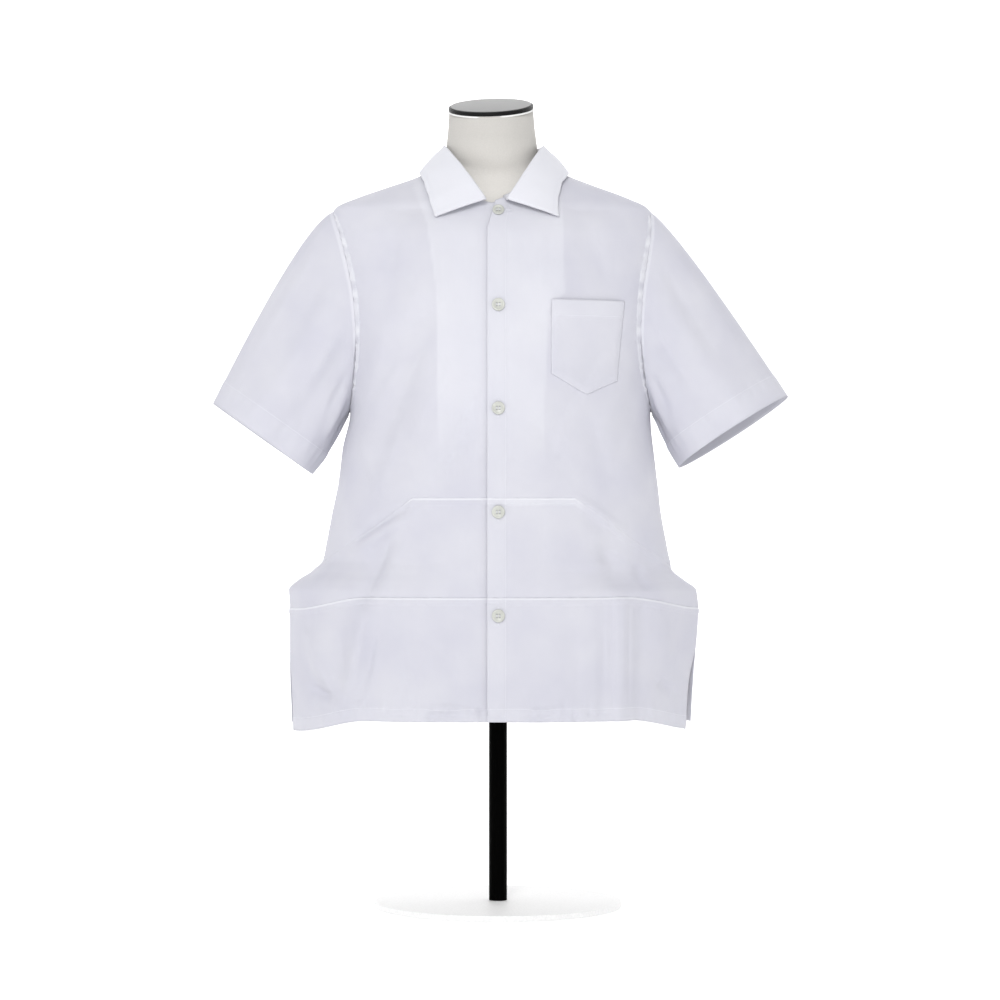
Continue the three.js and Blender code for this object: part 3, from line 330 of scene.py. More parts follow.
def crease_height(creases, x, z):
    """Soft troughs and ridges along bent lines, which fade at both ends."""
    total = np.zeros_like(x)
    shares = np.linspace(0, 1, 11)
    for x0, z0, x1, z1, x2, z2, width, height, soft in creases:
        px = (1 - shares) ** 2 * x0 + 2 * shares * (1 - shares) * x1 + shares ** 2 * x2
        pz = (1 - shares) ** 2 * z0 + 2 * shares * (1 - shares) * z1 + shares ** 2 * z2
        best = np.full_like(x, 1e9)
        side = np.zeros_like(x)
        place = np.zeros_like(x)
        for i in range(len(shares) - 1):
            dx, dz = px[i + 1] - px[i], pz[i + 1] - pz[i]
            t = np.clip(((x - px[i]) * dx + (z - pz[i]) * dz) / (dx * dx + dz * dz), 0, 1)
            ox, oz = x - px[i] - t * dx, z - pz[i] - t * dz
            distance = np.hypot(ox, oz)
            closer = distance < best
            best = np.where(closer, distance, best)
            side = np.where(closer, ox * dz - oz * dx, side)
            place = np.where(closer, (i + t) / (len(shares) - 1), place)
        reach = width * np.where(side > 0, soft, 1)
        fade = np.sin(math.pi * np.clip(0.06 + 0.88 * place, 0, 1)) ** 0.7
        total += height * fade * np.exp(-((best / reach) ** 2))
    return total


def ripple(x, z, seed, amplitude, long_wave, short_wave):
    """A gentle unevenness made of a few waves in set directions."""
    draw = np.random.default_rng(seed)
    total = np.zeros_like(x)
    for share in np.linspace(0, 1, 9):
        wave = mix(long_wave, short_wave, share)
        angle = draw.uniform(0, math.pi)
        phase = draw.uniform(0, 2 * math.pi)
        size = wave / long_wave
        total += size * np.sin(2 * math.pi * (x * math.cos(angle) + z * math.sin(angle)) / wave + phase)
    return amplitude * total / 3


def turn_of_x(x, z):
    share = (x - shift_at(z)) / half_width_at(z)
    return np.arcsin(np.clip(share, -1, 1)) / (math.pi / 2)


def side_drop(x, drop):
    return drop * smooth_step((np.abs(x) - DROP_START_X) / (DROP_END_X - DROP_START_X))


def waist_seam_z(turn, side):
    wing_x = half_width_at(WING_CORNER_Z) + side["sign"] * shift_at(WING_CORNER_Z)
    steepness = (WAIST_SEAM_Z - WING_CORNER_Z) / (wing_x - side["seam_x"])
    z = np.full_like(turn, WAIST_SEAM_Z)
    for _ in range(12):
        x = np.abs(section_point(turn, z)[..., 0])
        z = mix(z, WAIST_SEAM_Z - np.maximum(0, x - side["seam_x"]) * steepness, 0.7)
    return z


def band_seam_z(turn):
    at = np.full_like(turn, BAND_SEAM_Z)
    return BAND_SEAM_Z - side_drop(section_point(turn, at)[..., 0], BAND_SEAM_DROP)


def hem_z(turn, back):
    level, drop = (BACK_HEM_Z, BACK_HEM_DROP) if back else (FRONT_HEM_Z, FRONT_HEM_DROP)
    return level - side_drop(section_point(turn, np.full_like(turn, level))[..., 0], drop)


def front_neck_z(turn):
    rise = 1 - (1 - np.clip(np.abs(turn), 0, 1)) ** NECK_CURVE
    return mix(FRONT_NECK_Z, NECK_SIDE_Z, rise)


def back_neck_z(turn):
    return mix(NECK_SIDE_Z, BACK_NECK_Z, smooth_step(np.abs(turn) - 1))


def armhole_turn(down):
    wave = np.maximum(0, np.sin(math.pi * np.clip(down, 0, 1) ** ARMHOLE_LOW))
    soft_end = 0.1
    curve = np.where(wave > soft_end, wave ** ARMHOLE_FULLNESS, wave * soft_end ** (ARMHOLE_FULLNESS - 1))
    return 1 - ARMHOLE_CUT * curve


# Meshes from panels

def new_object(name, bm, material=None, smooth=True):
    mesh = bpy.data.meshes.new(name)
    bm.to_mesh(mesh)
    bm.free()
    if smooth:
        mesh.shade_smooth()
    thing = bpy.data.objects.new(name, mesh)
    bpy.context.scene.collection.objects.link(thing)
    if material:
        mesh.materials.append(material)
    return thing


def grid_panel(name, points, across, along, material, thickness=CLOTH, ring=False, layers_and_highlight=0):
    """A sheet of cloth through rows of points in millimetres, with a UV map in metres.
    layers_and_highlight is how white the cloth looks, from 0 to 1: where it lies in two layers, and painted
    highlights along seams and gathers."""
    rows, columns = points.shape[:2]
    bm = bmesh.new()
    bmesh.ops.create_grid(bm, x_segments=columns - 1, y_segments=rows - 1, size=0.5)
    bm.verts.ensure_lookup_table()
    flat = points.reshape(-1, 3) * MM
    layers = bm.verts.layers.float.new("layers_and_highlight")
    white_share = np.broadcast_to(layers_and_highlight, (rows, columns)).reshape(-1)
    for vert, place, share in zip(bm.verts, flat, white_share):
        vert.co = place
        vert[layers] = share
    layer = bm.loops.layers.uv.new("cloth")
    u = np.broadcast_to(across, (rows, columns)).reshape(-1) * MM
    v = np.broadcast_to(along, (rows, columns)).reshape(-1) * MM
    for face in bm.faces:
        for loop in face.loops:
            i = loop.vert.index
            loop[layer].uv = (u[i], v[i])
    if ring:
        bmesh.ops.remove_doubles(bm, verts=bm.verts[:], dist=1e-6)
    panel = new_object(name, bm, material)
    wall = panel.modifiers.new("cloth thickness", "SOLIDIFY")
    wall.thickness = thickness * MM
    wall.offset = -1
    wall.use_even_offset = False
    return panel


def grid_normals(points, ring=False):
    if ring:
        along = np.roll(points, -1, 1) - np.roll(points, 1, 1)
        along[:, 0] = points[:, 1] - points[:, -2]
        along[:, -1] = along[:, 0]
    else:
        along = np.gradient(points, axis=1)
    up = np.gradient(points, axis=0)
    return unit(np.cross(along, up))


def arc(points, axis):
    """Distance along rows (axis 0) or columns (axis 1) of a grid, from its first edge."""
    steps = np.linalg.norm(np.diff(points, axis=axis), axis=-1)
    start = np.zeros_like(np.take(steps, [0], axis))
    return np.concatenate([start, np.cumsum(steps, axis=axis)], axis)


# Fronts

def side_quarter(z):
    down = (SHOULDER_POINT_Z - z) / (SHOULDER_POINT_Z - UNDERARM_Z)
    inside = (down >= 0) & (down <= 1)
    return np.where(inside, armhole_turn(down), 1.0)


def arm_share(side_z):
    """1 along the armhole, 0 below and above it."""
    return smooth_step((side_z - UNDERARM_Z + 4) / 12) * smooth_step((SHOULDER_POINT_Z + 4 - side_z) / 12)


def crowded(count):
    return (1 - np.cos(math.pi * np.linspace(0, 1, count + 1))) / 2


def upper_rows(low_z, low_count, armhole_count, shoulder_count):
    low = mix(low_z, UNDERARM_Z, np.linspace(0, 1, low_count + 1))[:-1]
    spread = mix(np.linspace(0, 1, armhole_count + 1), crowded(armhole_count), 0.6)
    arm = mix(UNDERARM_Z, SHOULDER_POINT_Z, spread)
    shoulder = mix(SHOULDER_POINT_Z, NECK_SIDE_Z, np.linspace(0, 1, shoulder_count + 1))[1:]
    z = np.concatenate([low, arm, shoulder])
    return (z - low_z) / (NECK_SIDE_Z - low_z), side_quarter(z)


def opening_edge_x(side, z):
    if side["sign"] < 0:
        return np.full_like(z, UNDERLAP_EDGE_X)
    cut = np.clip((z - CORNER_CUT_Z) / (FRONT_NECK_Z - CORNER_CUT_Z), 0, 1)
    return PLACKET_EDGE_X + CORNER_CUT_X * cut


def front_columns(side, placket_count, outer_count):
    """Shares from the opening to the end of the placket, then on to the side seam."""
    placket = np.linspace(0, 1, placket_count + 1)
    outer = np.linspace(0, 1, outer_count + 1)[1:]
    on_placket = np.concatenate([placket, np.ones(outer_count)])
    beyond = np.concatenate([np.zeros(placket_count + 1), outer])
    return on_placket, beyond


def column_turn(side, on_placket, beyond, z, quarter):
    inner_x = UNDERLAP_EDGE_X if side["sign"] > 0 else PLACKET_EDGE_X - UNDERLAP_RAMP
    x = mix(opening_edge_x(side, z), inner_x, on_placket)
    pulled_in = (1 - quarter) * beyond ** ARMHOLE_SPREAD
    return mix(turn_of_x(x, z), side["sign"] * 1.0, beyond) - side["sign"] * pulled_in


def front_surface(side, turn, z):
    """Points of a front with its folds, creases and the ramp under the placket."""
    point = body_point(turn, z)
    normal = body_normal(turn, z)
    x = point[..., 0]
    lift = np.zeros_like(x)
    fade = smooth_step(np.cos(turn * math.pi / 2) / 0.2)
    lift += fade * crease_height(FRONT_CREASES, x, z)
    lift += fade * ripple(x, z, seed=5, amplitude=0.35, long_wave=90, short_wave=26)
    if side["sign"] < 0:
        lift -= UNDERLAP_DEPTH * smooth_step((x - PLACKET_EDGE_X + UNDERLAP_RAMP) / UNDERLAP_RAMP)
    else:
        lift += PLACKET_RISE * smooth_step((PLACKET_EDGE_X + PLACKET_WIDTH - x) / 2.4)
    return point + normal * lift[..., None], normal


def pucker(place, distance, wave, reach, size, seed):
    """Small gathers that run out of a stitched seam."""
    draw = np.random.default_rng(seed)
    a, b, c = draw.uniform(0, 6.28, 3)
    run = np.sin(2 * math.pi * place / wave + a) + 0.6 * np.sin(2 * math.pi * place / (wave * 1.63) + b)
    run += 0.5 * np.sin(2 * math.pi * place / (wave * 0.71) + c)
    return size * run / 1.6 * np.exp(-((distance / reach) ** 2))


def lapped_edge(distance, width, step, fall=1.6):
    """A seam allowance or hem: the cloth lies a little higher up to its stitched line."""
    return step * smooth_step((width - distance) / fall)


def facing_share(side, x, z):
    """1 where the front's turned-in facing lies behind it, which shows as whiter cloth."""
    edge = np.interp(z, *FACING_EDGE[side["sign"]])
    inside = (x - edge) if side["sign"] < 0 else (edge - x)
    return smooth_step(inside / 3) * smooth_step((z - FACING_FOOT_Z) / FACING_FADE)


def seam_ridge(down):
    """A lower panel's top edge laps over the panel above and stands a little higher."""
    corner = 0.3 + 0.7 * smooth_step(down / SEAM_CORNER)
    return SEAM_RISE * corner * smooth_step((SEAM_ALLOWANCE - down) / 2.2)


def allowance_and_pucker_highlight(z):
    """How white a gathered seam looks along its height: its extra layers of cloth, and painted highlights
    where its gathers catch the light.
    """
    return np.clip(0.55 + pucker(z, 0 * z, wave=23, reach=1, size=0.5, seed=14), 0, 1)


def near_line(distance, width):
    """1 up to a distance from an edge, then 0."""
    return smooth_step((width + 1 - distance) / 2)


def finish_front(side, points, normals, seam_low, seam_high, arm_rows=None, hem=False):
    """Adds what the seams do to the cloth beside them, and turns the grid the right way round."""
    up = arc(points, 0)
    down = up[-1:] - up
    out = arc(points, 1)
    inward = out[:, -1:] - out
    x = points[..., 0]
    z = points[..., 2]
    lift = np.zeros_like(x)
    layers_and_highlight = FACING_TONE * facing_share(side, x, z)
    if side["sign"] > 0:
        layers_and_highlight = np.maximum(layers_and_highlight, PLACKET_TONE * smooth_step((PLACKET_EDGE_X + PLACKET_WIDTH - x) / 2))
    if hem:
        lift += lapped_edge(up, HEM_DEPTH, HEM_RISE)
        lift += pucker(x, up - HEM_DEPTH * 0.7, wave=15, reach=13, size=0.6, seed=3)
        layers_and_highlight = np.maximum(layers_and_highlight, HEM_TONE * near_line(up, HEM_DEPTH))
    elif seam_low:
        lift += pucker(x, up, wave=13, reach=10, size=0.3, seed=4)
    # seam_high holds the ridge's height, the strength of the painted highlight along it and the whiteness of
    # the allowance behind
    if seam_high is not None:
        ridge, line, allowance = seam_high
        lift += ridge * seam_ridge(down)
        lift += pucker(x, down, wave=14, reach=14, size=0.35, seed=6)
        layers_and_highlight = np.maximum(layers_and_highlight, allowance * near_line(down, SEAM_ALLOWANCE))
        # painted highlight along the seam's raised edge, where it catches the light
        layers_and_highlight = np.maximum(layers_and_highlight, line * near_line(down, SEAM_HIGHLIGHT_WIDTH))
    if arm_rows is not None:
        near = arm_rows[:, None]
        lift += near * lapped_edge(inward, ARM_ALLOWANCE, ARM_RISE, 2.2)
        lift += near * pucker(z, inward - ARM_PUCKER_INSET, wave=11, reach=8, size=0.95, seed=8)
        # the felled allowance's extra layers, and painted highlights on its gathers
        layers_and_highlight = np.maximum(layers_and_highlight, near * near_line(inward, ARM_ALLOWANCE) * allowance_and_pucker_highlight(z))
    points = points + normals * lift[..., None]
    if side["sign"] < 0:
        points = points[:, ::-1]
        normals = normals[:, ::-1]
        layers_and_highlight = layers_and_highlight[:, ::-1]
    return points, normals, layers_and_highlight


# Distances of the close rows below a seam, and of the last even row before them
SEAM_ROW_STEPS = np.array([9.6, 8.2, 7, 6, 5, 4.1, 3.3, 2.6, 2, 1.4, 0.9, 0.4, 0])
LAST_EVEN_ROW = 11.5


def lower_rows(count, height):
    """Shares of a lower panel's height, closer together just below the seam on top."""
    even = np.linspace(0, 1 - LAST_EVEN_ROW / height, count)
    return np.concatenate([even, 1 - SEAM_ROW_STEPS / height])[:, None]


def tucked(share, quarter):
    """Adds three rows below an upper panel, which slip behind the panel below."""
    rows = np.concatenate([[0, 0, 0], share])[:, None]
    tuck = np.concatenate([TUCK_ROWS, np.zeros(len(share))])[:, None]
    return rows, tuck, np.concatenate([[1, 1, 1], quarter])[:, None]


def tuck_depth(tuck):
    return TUCK_DEPTH * smooth_step(tuck / 2)


panels = {}


def keep_panel(name, points, normals):
    """Keeps a panel's grid for the stitching."""
    panels[name] = {"points": points, "normals": normals}


def add_panel(name, label, points, normals, material, layers_and_highlight):
    """A panel of the body, with x and z as the directions of its weave."""
    keep_panel(name, points, normals)
    return grid_panel(label, points, points[..., 0], points[..., 2], material, layers_and_highlight=layers_and_highlight)


def add_front_panel(name, label, side, points, normals, material, **seams):
    points, normals, layers_and_highlight = finish_front(side, points, normals, **seams)
    return add_panel(name, label, points, normals, material, layers_and_highlight)


def upper_front(name, label, side, material):
    on_placket, beyond = front_columns(side, 10, 84)
    share, quarter = upper_rows(WING_CORNER_Z, 62, 96, 22)
    flat = np.full_like(beyond, WAIST_SEAM_Z)
    low = waist_seam_z(column_turn(side, on_placket, beyond, flat, 1.0), side) + HALF_SEAM_GAP
    neck = np.full_like(beyond, FRONT_NECK_Z)
    high = front_neck_z(column_turn(side, on_placket, beyond, neck, 1.0))
    share, tuck, quarter = tucked(share, quarter)
    z = mix(low[None, :], high[None, :], share) - tuck
    turn = column_turn(side, on_placket[None, :], beyond[None, :], z, quarter)
    points, normals = front_surface(side, turn, z)
    points = points - normals * tuck_depth(tuck)[..., None]
    side_z = mix(WING_CORNER_Z, NECK_SIDE_Z, share[:, 0])
    return add_front_panel(name, label, side, points, normals, material,
                           seam_low=True, seam_high=None, arm_rows=arm_share(side_z))


def middle_front(name, label, side, material):
    on_placket, beyond = front_columns(side, 10, 96)
    turn_low = column_turn(side, on_placket, beyond, np.full_like(beyond, BAND_SEAM_Z), 1.0)
    turn_high = column_turn(side, on_placket, beyond, np.full_like(beyond, WAIST_SEAM_Z), 1.0)
    low = band_seam_z(turn_low) + HALF_SEAM_GAP
    high = waist_seam_z(turn_high, side) - HALF_SEAM_GAP
    z = mix(low[None, :], high[None, :], lower_rows(48, WAIST_SEAM_Z - BAND_SEAM_Z))
    turn = column_turn(side, on_placket[None, :], beyond[None, :], z, 1.0)
    points, normals = front_surface(side, turn, z)
    tuck = np.zeros_like(z)
    tuck[0] = SEAM_TUCK
    points[..., 2] -= tuck
    points = points - normals * tuck_depth(tuck)[..., None]
    # the seam's ridge, its painted highlight and the allowance behind, all fuller where the seam runs level
    level = smooth_step((high - WAIST_SEAM_Z + 9) / 8)
    seam = (mix(0.35, 1, level), mix(0.12, 0.85, level), 0.3 * level if side["sign"] > 0 else 0)
    return add_front_panel(name, label, side, points, normals, material, seam_low=True, seam_high=seam)


def front_band(name, label, side, material):
    on_placket, beyond = front_columns(side, 10, 150)
    turn_low = column_turn(side, on_placket, beyond, np.full_like(beyond, BAND_SEAM_Z), 1.0)
    low = hem_z(turn_low, False)
    high = band_seam_z(turn_low) - HALF_SEAM_GAP
    z = mix(low[None, :], high[None, :], lower_rows(60, BAND_SEAM_Z - FRONT_HEM_Z))
    turn = column_turn(side, on_placket[None, :], beyond[None, :], z, 1.0)
    points, normals = front_surface(side, turn, z)
    out = smooth_step((beyond - VENT_START) / (1 - VENT_START))
    vent = side["vent"] * smooth_step((VENT_TOP_Z - z) / VENT_RISE) * out[None, :]
    points[..., 0] -= side["sign"] * vent
    # the seam on top: full ridge, a painted highlight along it, a trace of its allowance
    return add_front_panel(name, label, side, points, normals, material,
                           seam_low=False, seam_high=(1, 0.8, 0.04), hem=True)


# Backs

def back_surface(turn, z):
    point = body_point(turn, z)
    normal = body_normal(turn, z)
    x = point[..., 0]
    fade = smooth_step(-np.cos(turn * math.pi / 2) / 0.2)
    lift = fade * (crease_height(BACK_CREASES, x, z)
                   + ripple(x, z, seed=9, amplitude=0.45, long_wave=120, short_wave=30))
    return point + normal * lift[..., None], normal


def back_seam_z(guide):
    """Height of the waist seam round the back, for turns from 1 to 3."""
    return np.where(guide < 2, waist_seam_z(guide, LEFT), waist_seam_z(guide, RIGHT))


def upper_back(name, label, material):
    across = np.linspace(0, 1, 141)
    share, quarter = upper_rows(WING_CORNER_Z, 56, 76, 18)
    guide = mix(1.0, 3.0, across)
    low = back_seam_z(guide) + HALF_SEAM_GAP
    high = back_neck_z(np.where(guide > 2, 4 - guide, guide))
    share, tuck, quarter = tucked(share, quarter)
    z = mix(low[None, :], high[None, :], share) - tuck
    off_middle = 2 * across[None, :] - 1
    pulled_in = (1 - quarter) * np.abs(off_middle) ** ARMHOLE_SPREAD
    turn = 2 + off_middle - np.sign(off_middle) * pulled_in
    points, normals = back_surface(turn, z)
    out = arc(points, 1)
    inward = np.minimum(out, out[:, -1:] - out)
    side_z = mix(WING_CORNER_Z, NECK_SIDE_Z, share)
    arm = arm_share(side_z)
    lift = arm * (lapped_edge(inward, ARM_ALLOWANCE, ARM_RISE, 2.4)
                  + pucker(z, inward - ARM_PUCKER_INSET, wave=11, reach=9, size=0.6, seed=12))
    lift = lift - tuck_depth(tuck)
    points = points + normals * lift[..., None]
    # the felled allowance's extra layers, and painted highlights on its gathers
    layers_and_highlight = arm * near_line(inward, ARM_ALLOWANCE) * allowance_and_pucker_highlight(z)
    return add_panel(name, label, points, normals, material, layers_and_highlight)


def middle_back(name, label, material):
    turn = np.linspace(1.0, 3.0, 151)
    share = lower_rows(44, WAIST_SEAM_Z - BAND_SEAM_Z)
    z = mix(band_seam_z(turn) + HALF_SEAM_GAP, back_seam_z(turn) - HALF_SEAM_GAP, share)
    points, normals = back_surface(np.broadcast_to(turn, z.shape), z)
    up = arc(points, 0)
    down = up[-1:] - up
    tuck = np.zeros_like(z)
    tuck[0] = SEAM_TUCK
    points[..., 2] -= tuck
    level = smooth_step((back_seam_z(turn) - WAIST_SEAM_Z + 9) / 8)
    points = points + normals * (mix(0.35, 1, level) * seam_ridge(down) - tuck_depth(tuck))[..., None]
    # painted highlight along the seam's raised edge, stronger where the seam runs level
    layers_and_highlight = mix(0.12, 0.8, level) * near_line(down, SEAM_HIGHLIGHT_WIDTH)
    return add_panel(name, label, points, normals, material, layers_and_highlight)


def back_band(name, label, material):
    turn = np.linspace(1.0, 3.0, 151)
    low = hem_z(turn, True)
    high = band_seam_z(turn) - HALF_SEAM_GAP
    z = mix(low[None, :], high[None, :], lower_rows(48, BAND_SEAM_Z - BACK_HEM_Z))
    points, normals = back_surface(np.broadcast_to(turn, z.shape), z)
    up = arc(points, 0)
    down = up[-1:] - up
    lift = lapped_edge(up, HEM_DEPTH, HEM_RISE, 2.4)
    lift = lift + pucker(points[..., 0], up - 12, wave=15, reach=13, size=0.5, seed=15)
    points = points + normals * (lift + seam_ridge(down))[..., None]
    # painted highlight along the seam on top, and the hem's two layers
    layers_and_highlight = np.maximum(0.8 * near_line(down, SEAM_HIGHLIGHT_WIDTH), BACK_HEM_TONE * near_line(up, HEM_DEPTH))
    return add_panel(name, label, points, normals, material, layers_and_highlight)


# Sleeves

SLEEVE_AXIS_X = 0.53
SLEEVE_AXIS_Z = 0.85
SLEEVE_GUIDE = 0.35
SLEEVE_BULGE = 9.0
SLEEVE_CLEARANCE = 2.2
SLEEVE_HEM_WAVE = 15
SLEEVE_HEM_PUCKER_INSET = 26
SLEEVE_HEAD_WAVE = 10
# width of the painted highlight on the gathered sleeve head
SLEEVE_HEAD_HIGHLIGHT = 6
# hem top x, z, hem low x, z, hem depth, gape, top guide x, z, low guide x, z
SLEEVE_RIGHT = (-370.5, 653, -240.5, 561, 56, 2, -249.6, 894.6, -209, 600)
SLEEVE_LEFT = (377, 662, 234, 570, 56, 7, 229, 886, 212, 608)

# Folds and creases of a sleeve: place around it at the armhole and at the hem (0 top, 0.5 front, 1 below,
# 1.5 behind), width, height, start, end
SLEEVE_FOLDS = [
    (0.42, 0.42, 0.09, 4.0, 0.0, 1.3),
    (0.60, 0.60, 0.08, -4.0, 0.0, 1.3),
    (0.90, 0.90, 0.10, -3.0, 0.0, 1.3),
    (1.35, 1.35, 0.10, 4.0, 0.0, 1.3),
    (1.62, 1.62, 0.09, -3.5, 0.0, 1.3),
]
SLEEVE_CREASES = [
    (0.50, 0.56, 0.030, 2.4, 0.05, 0.75),
    (0.68, 0.74, 0.030, -2.9, 0.02, 0.6),
    (0.76, 0.84, 0.032, 2.9, 0.04, 0.7),
    (0.30, 0.38, 0.034, -1.9, 0.10, 0.8),
    (0.20, 0.22, 0.040, 1.6, 0.15, 0.9),
    (0.94, 1.00, 0.040, -2.9, 0.00, 0.7),
    (1.20, 1.16, 0.040, 2.4, 0.05, 0.7),
    (1.48, 1.44, 0.040, -2.4, 0.05, 0.8),
    (1.76, 1.72, 0.040, 1.9, 0.10, 0.9),
]


def armhole_seam(side, down, back):
    quarter = armhole_turn(down)
    turn = side["sign"] * ((2 - quarter) if back else quarter)
    z = mix(SHOULDER_POINT_Z, UNDERARM_Z, down)
    loop = np.arccos(np.clip(1 - 2 * down, -1, 1))
    sleeve_normal = np.stack([side["sign"] * SLEEVE_AXIS_Z * np.cos(loop),
                              (1 if back else -1) * np.sin(loop),
                              SLEEVE_AXIS_X * np.cos(loop)], -1)
    return body_point(turn, z), unit(body_normal(turn, z) + sleeve_normal)


def armhole_loop(side, steps):
    front, front_normal = armhole_seam(side, crowded(steps), False)
    back, back_normal = armhole_seam(side, crowded(steps), True)
    points = np.concatenate([front, back[::-1][1:-1]])
    normals = np.concatenate([front_normal, back_normal[::-1][1:-1]])
    along = np.roll(points, -1, 0) - np.roll(points, 1, 0)
    away = unit(np.cross(normals, along) * side["sign"])
    return points + away * ARMHOLE_GAP, normals


def keep_clear_of_body(points, distance):
    x, y, z = points[..., 0], points[..., 1], points[..., 2]
    share = (x - shift_at(z)) / (half_width_at(z) + distance)
    depth = np.where(y < 0, front_depth_at(z), back_depth_at(z))
    reach = np.hypot(share, y / (depth + distance))
    push = np.where(reach < 1, 1 / np.maximum(reach, 1e-6), 1)
    return np.stack([shift_at(z) + (x - shift_at(z)) * push, y * push, z], -1)


def sleeve_points(side, sleeve, steps, rows):
    top_x, top_z, low_x, low_z, depth, gape, top_gx, top_gz, low_gx, low_gz = sleeve
    start, start_normal = armhole_loop(side, steps)
    count = len(start)
    top = np.array([top_x, 0, top_z])
    low = np.array([low_x, 0, low_z])
    centre = (top + low) / 2
    half = top - centre
    axis = unit(np.array([side["sign"] * half[2], 0, -side["sign"] * half[0]]))
    angle = 2 * math.pi * np.arange(count) / count
    cos, sin = np.cos(angle)[:, None], np.sin(angle)[:, None]
    end = centre + half * cos - axis * gape * sin + np.array([0, -depth, 0]) * sin
    top_offset = np.array([top_gx, 0, top_gz]) - mix(start[0], top, SLEEVE_GUIDE)
    low_offset = np.array([low_gx, 0, low_gz]) - mix(start[count // 2], low, SLEEVE_GUIDE)
    guide = mix(start, end, SLEEVE_GUIDE)
    guide = guide + top_offset * np.maximum(0, cos) ** 2 + low_offset * np.maximum(0, -cos) ** 2
    guide = guide + np.array([0, -SLEEVE_BULGE, 0]) * sin
    along = rows[:, None, None]
    points = (1 - along) ** 2 * start + 2 * along * (1 - along) * guide + along ** 2 * end
    out = np.concatenate([side["sign"] * SLEEVE_AXIS_Z * cos, -sin, SLEEVE_AXIS_X * cos], 1)
    loop = (2 * np.arange(count) / count)[None, :]
    share = rows[:, None]
    height = np.zeros((len(rows), count))
    for from_loop, to_loop, width, size, begin, finish in SLEEVE_FOLDS + SLEEVE_CREASES:
        place = mix(from_loop, to_loop, share)
        fade = smooth_step((share - begin) / 0.3) * smooth_step((finish - share) / 0.25)
        height += size * fade * np.exp(-(((loop - place) / width) ** 2))
    points = points + out * height[..., None]
    clear = keep_clear_of_body(points, SLEEVE_CLEARANCE)
    points = np.where(share[..., None] > 0, clear, points)
    return points, start_normal


def add_sleeve(name, label, side, sleeve, material, seed):
    rows = np.concatenate([[0, 0.006, 0.014, 0.026], np.linspace(0.04, 1, 84)])
    points, start_normal = sleeve_points(side, sleeve, 64, rows)
    points = np.concatenate([points, points[:, :1]], 1)
    if side["sign"] < 0:
        points = points[:, ::-1]
    normals = grid_normals(points, ring=True)
    along = arc(points, 0)
    left = along[-1:] - along
    around = arc(points, 1)
    wide = around[:, -1:]
    around_even = around / wide * wide[-1:]
    lift = lapped_edge(left, SLEEVE_HEM_DEPTH, 0.5, 3.0)
    count = points.shape[1] - 1
    turns = np.arange(points.shape[1])[None, :] / count
    hem_waves = np.round(float(wide[-1, 0]) / SLEEVE_HEM_WAVE)
    at_hem = np.exp(-((left - SLEEVE_HEM_PUCKER_INSET) / 12) ** 2)
    lift = lift + 0.4 * np.sin(2 * math.pi * turns * hem_waves) * at_hem
    head_waves = np.round(float(wide[0, 0]) / SLEEVE_HEAD_WAVE)
    gathers = np.sin(2 * math.pi * turns * head_waves + 2 * np.sin(4 * math.pi * turns))
    at_head = np.exp(-((along - 6) / 7) ** 2)
    lift = lift + 0.45 * gathers * at_head * smooth_step(along / 2)
    soft = ripple(around_even + 0 * along, along, seed, amplitude=0.5, long_wave=90, short_wave=30)
    lift = lift + soft * np.sin(math.pi * turns) ** 0.5
    points = points + normals * lift[..., None]
    points[:, -1] = points[:, 0]
    # the hem's two layers, and a painted highlight on the gathered sleeve head
    layers_and_highlight = np.maximum(0.12 * near_line(left, SLEEVE_HEM_DEPTH), 0.5 * near_line(along, SLEEVE_HEAD_HIGHLIGHT))
    keep_panel(name, points, normals)
    return grid_panel(label, points, around_even, along, material, ring=True, layers_and_highlight=layers_and_highlight)


# Collar

COLLAR_SHIFT_FRONT = -2.0
COLLAR_SHIFT_BACK = -5.2
ROLL_START = math.radians(12)
ROLL_HALF_WIDTH = 65.0
ROLL_FRONT_DEPTH = 91.0
ROLL_BACK_DEPTH = 70.0
ROLL_FRONT_Z = 913.6
ROLL_SIDE_Z = 988.0
ROLL_BACK_Z = 992.0
ROLL_RADIUS = 2.8
COLLAR_LIFT = 4.5
COLLAR_CROWN = 2.0
COLLAR_WALL = 1.3
COLLAR_TONE = 0.8
COLLAR_STITCH_INSET = 5.5
COLLAR_STITCH_DEPTH = 0.25
BASE_LIFT = 2.3
BASE_INSET = 1.2
# place, turn and height of the outer edge, turn of the neckline
COLLAR_EDGE = np.array([
    (0, 0.235, 885.7, 0.05),
    (0.075, 0.245, 902, 0.17),
    (0.11, 0.261, 910, 0.23),
    (0.15, 0.303, 918, 0.3),
    (0.22, 0.362, 926, 0.44),
    (0.3, 0.45, 934, 0.6),
    (0.42, 0.75, 946, 0.87),
    (0.52, 1, 949, 1.05),
    (0.7, 1.4, 946, 1.4),
    (1, 2, 943, 2),
])
LEFT_POINT_TURN = 0.027
LEFT_POINT_REACH = 0.4
collar_turn_at, collar_edge_z_at, collar_base_turn_at = [
    column_curve(COLLAR_EDGE[:, 0], COLLAR_EDGE[:, i]) for i in (1, 2, 3)]


def roll_point(sign, share):
    angle = mix(ROLL_START, math.pi, share)
    across, ahead = np.sin(angle), np.cos(angle)
    front_share = (across - math.sin(ROLL_START)) / (1 - math.sin(ROLL_START))
    front_z = mix(ROLL_FRONT_Z, ROLL_SIDE_Z, front_share)
    z = np.where(ahead > 0, front_z, mix(ROLL_BACK_Z, ROLL_SIDE_Z, across))
    shift = mix(COLLAR_SHIFT_FRONT, COLLAR_SHIFT_BACK, smooth_step(share / 0.4))
    depth = np.where(ahead > 0, ROLL_FRONT_DEPTH, ROLL_BACK_DEPTH)
    return np.stack([shift + sign * ROLL_HALF_WIDTH * across, -depth * ahead, z], -1)


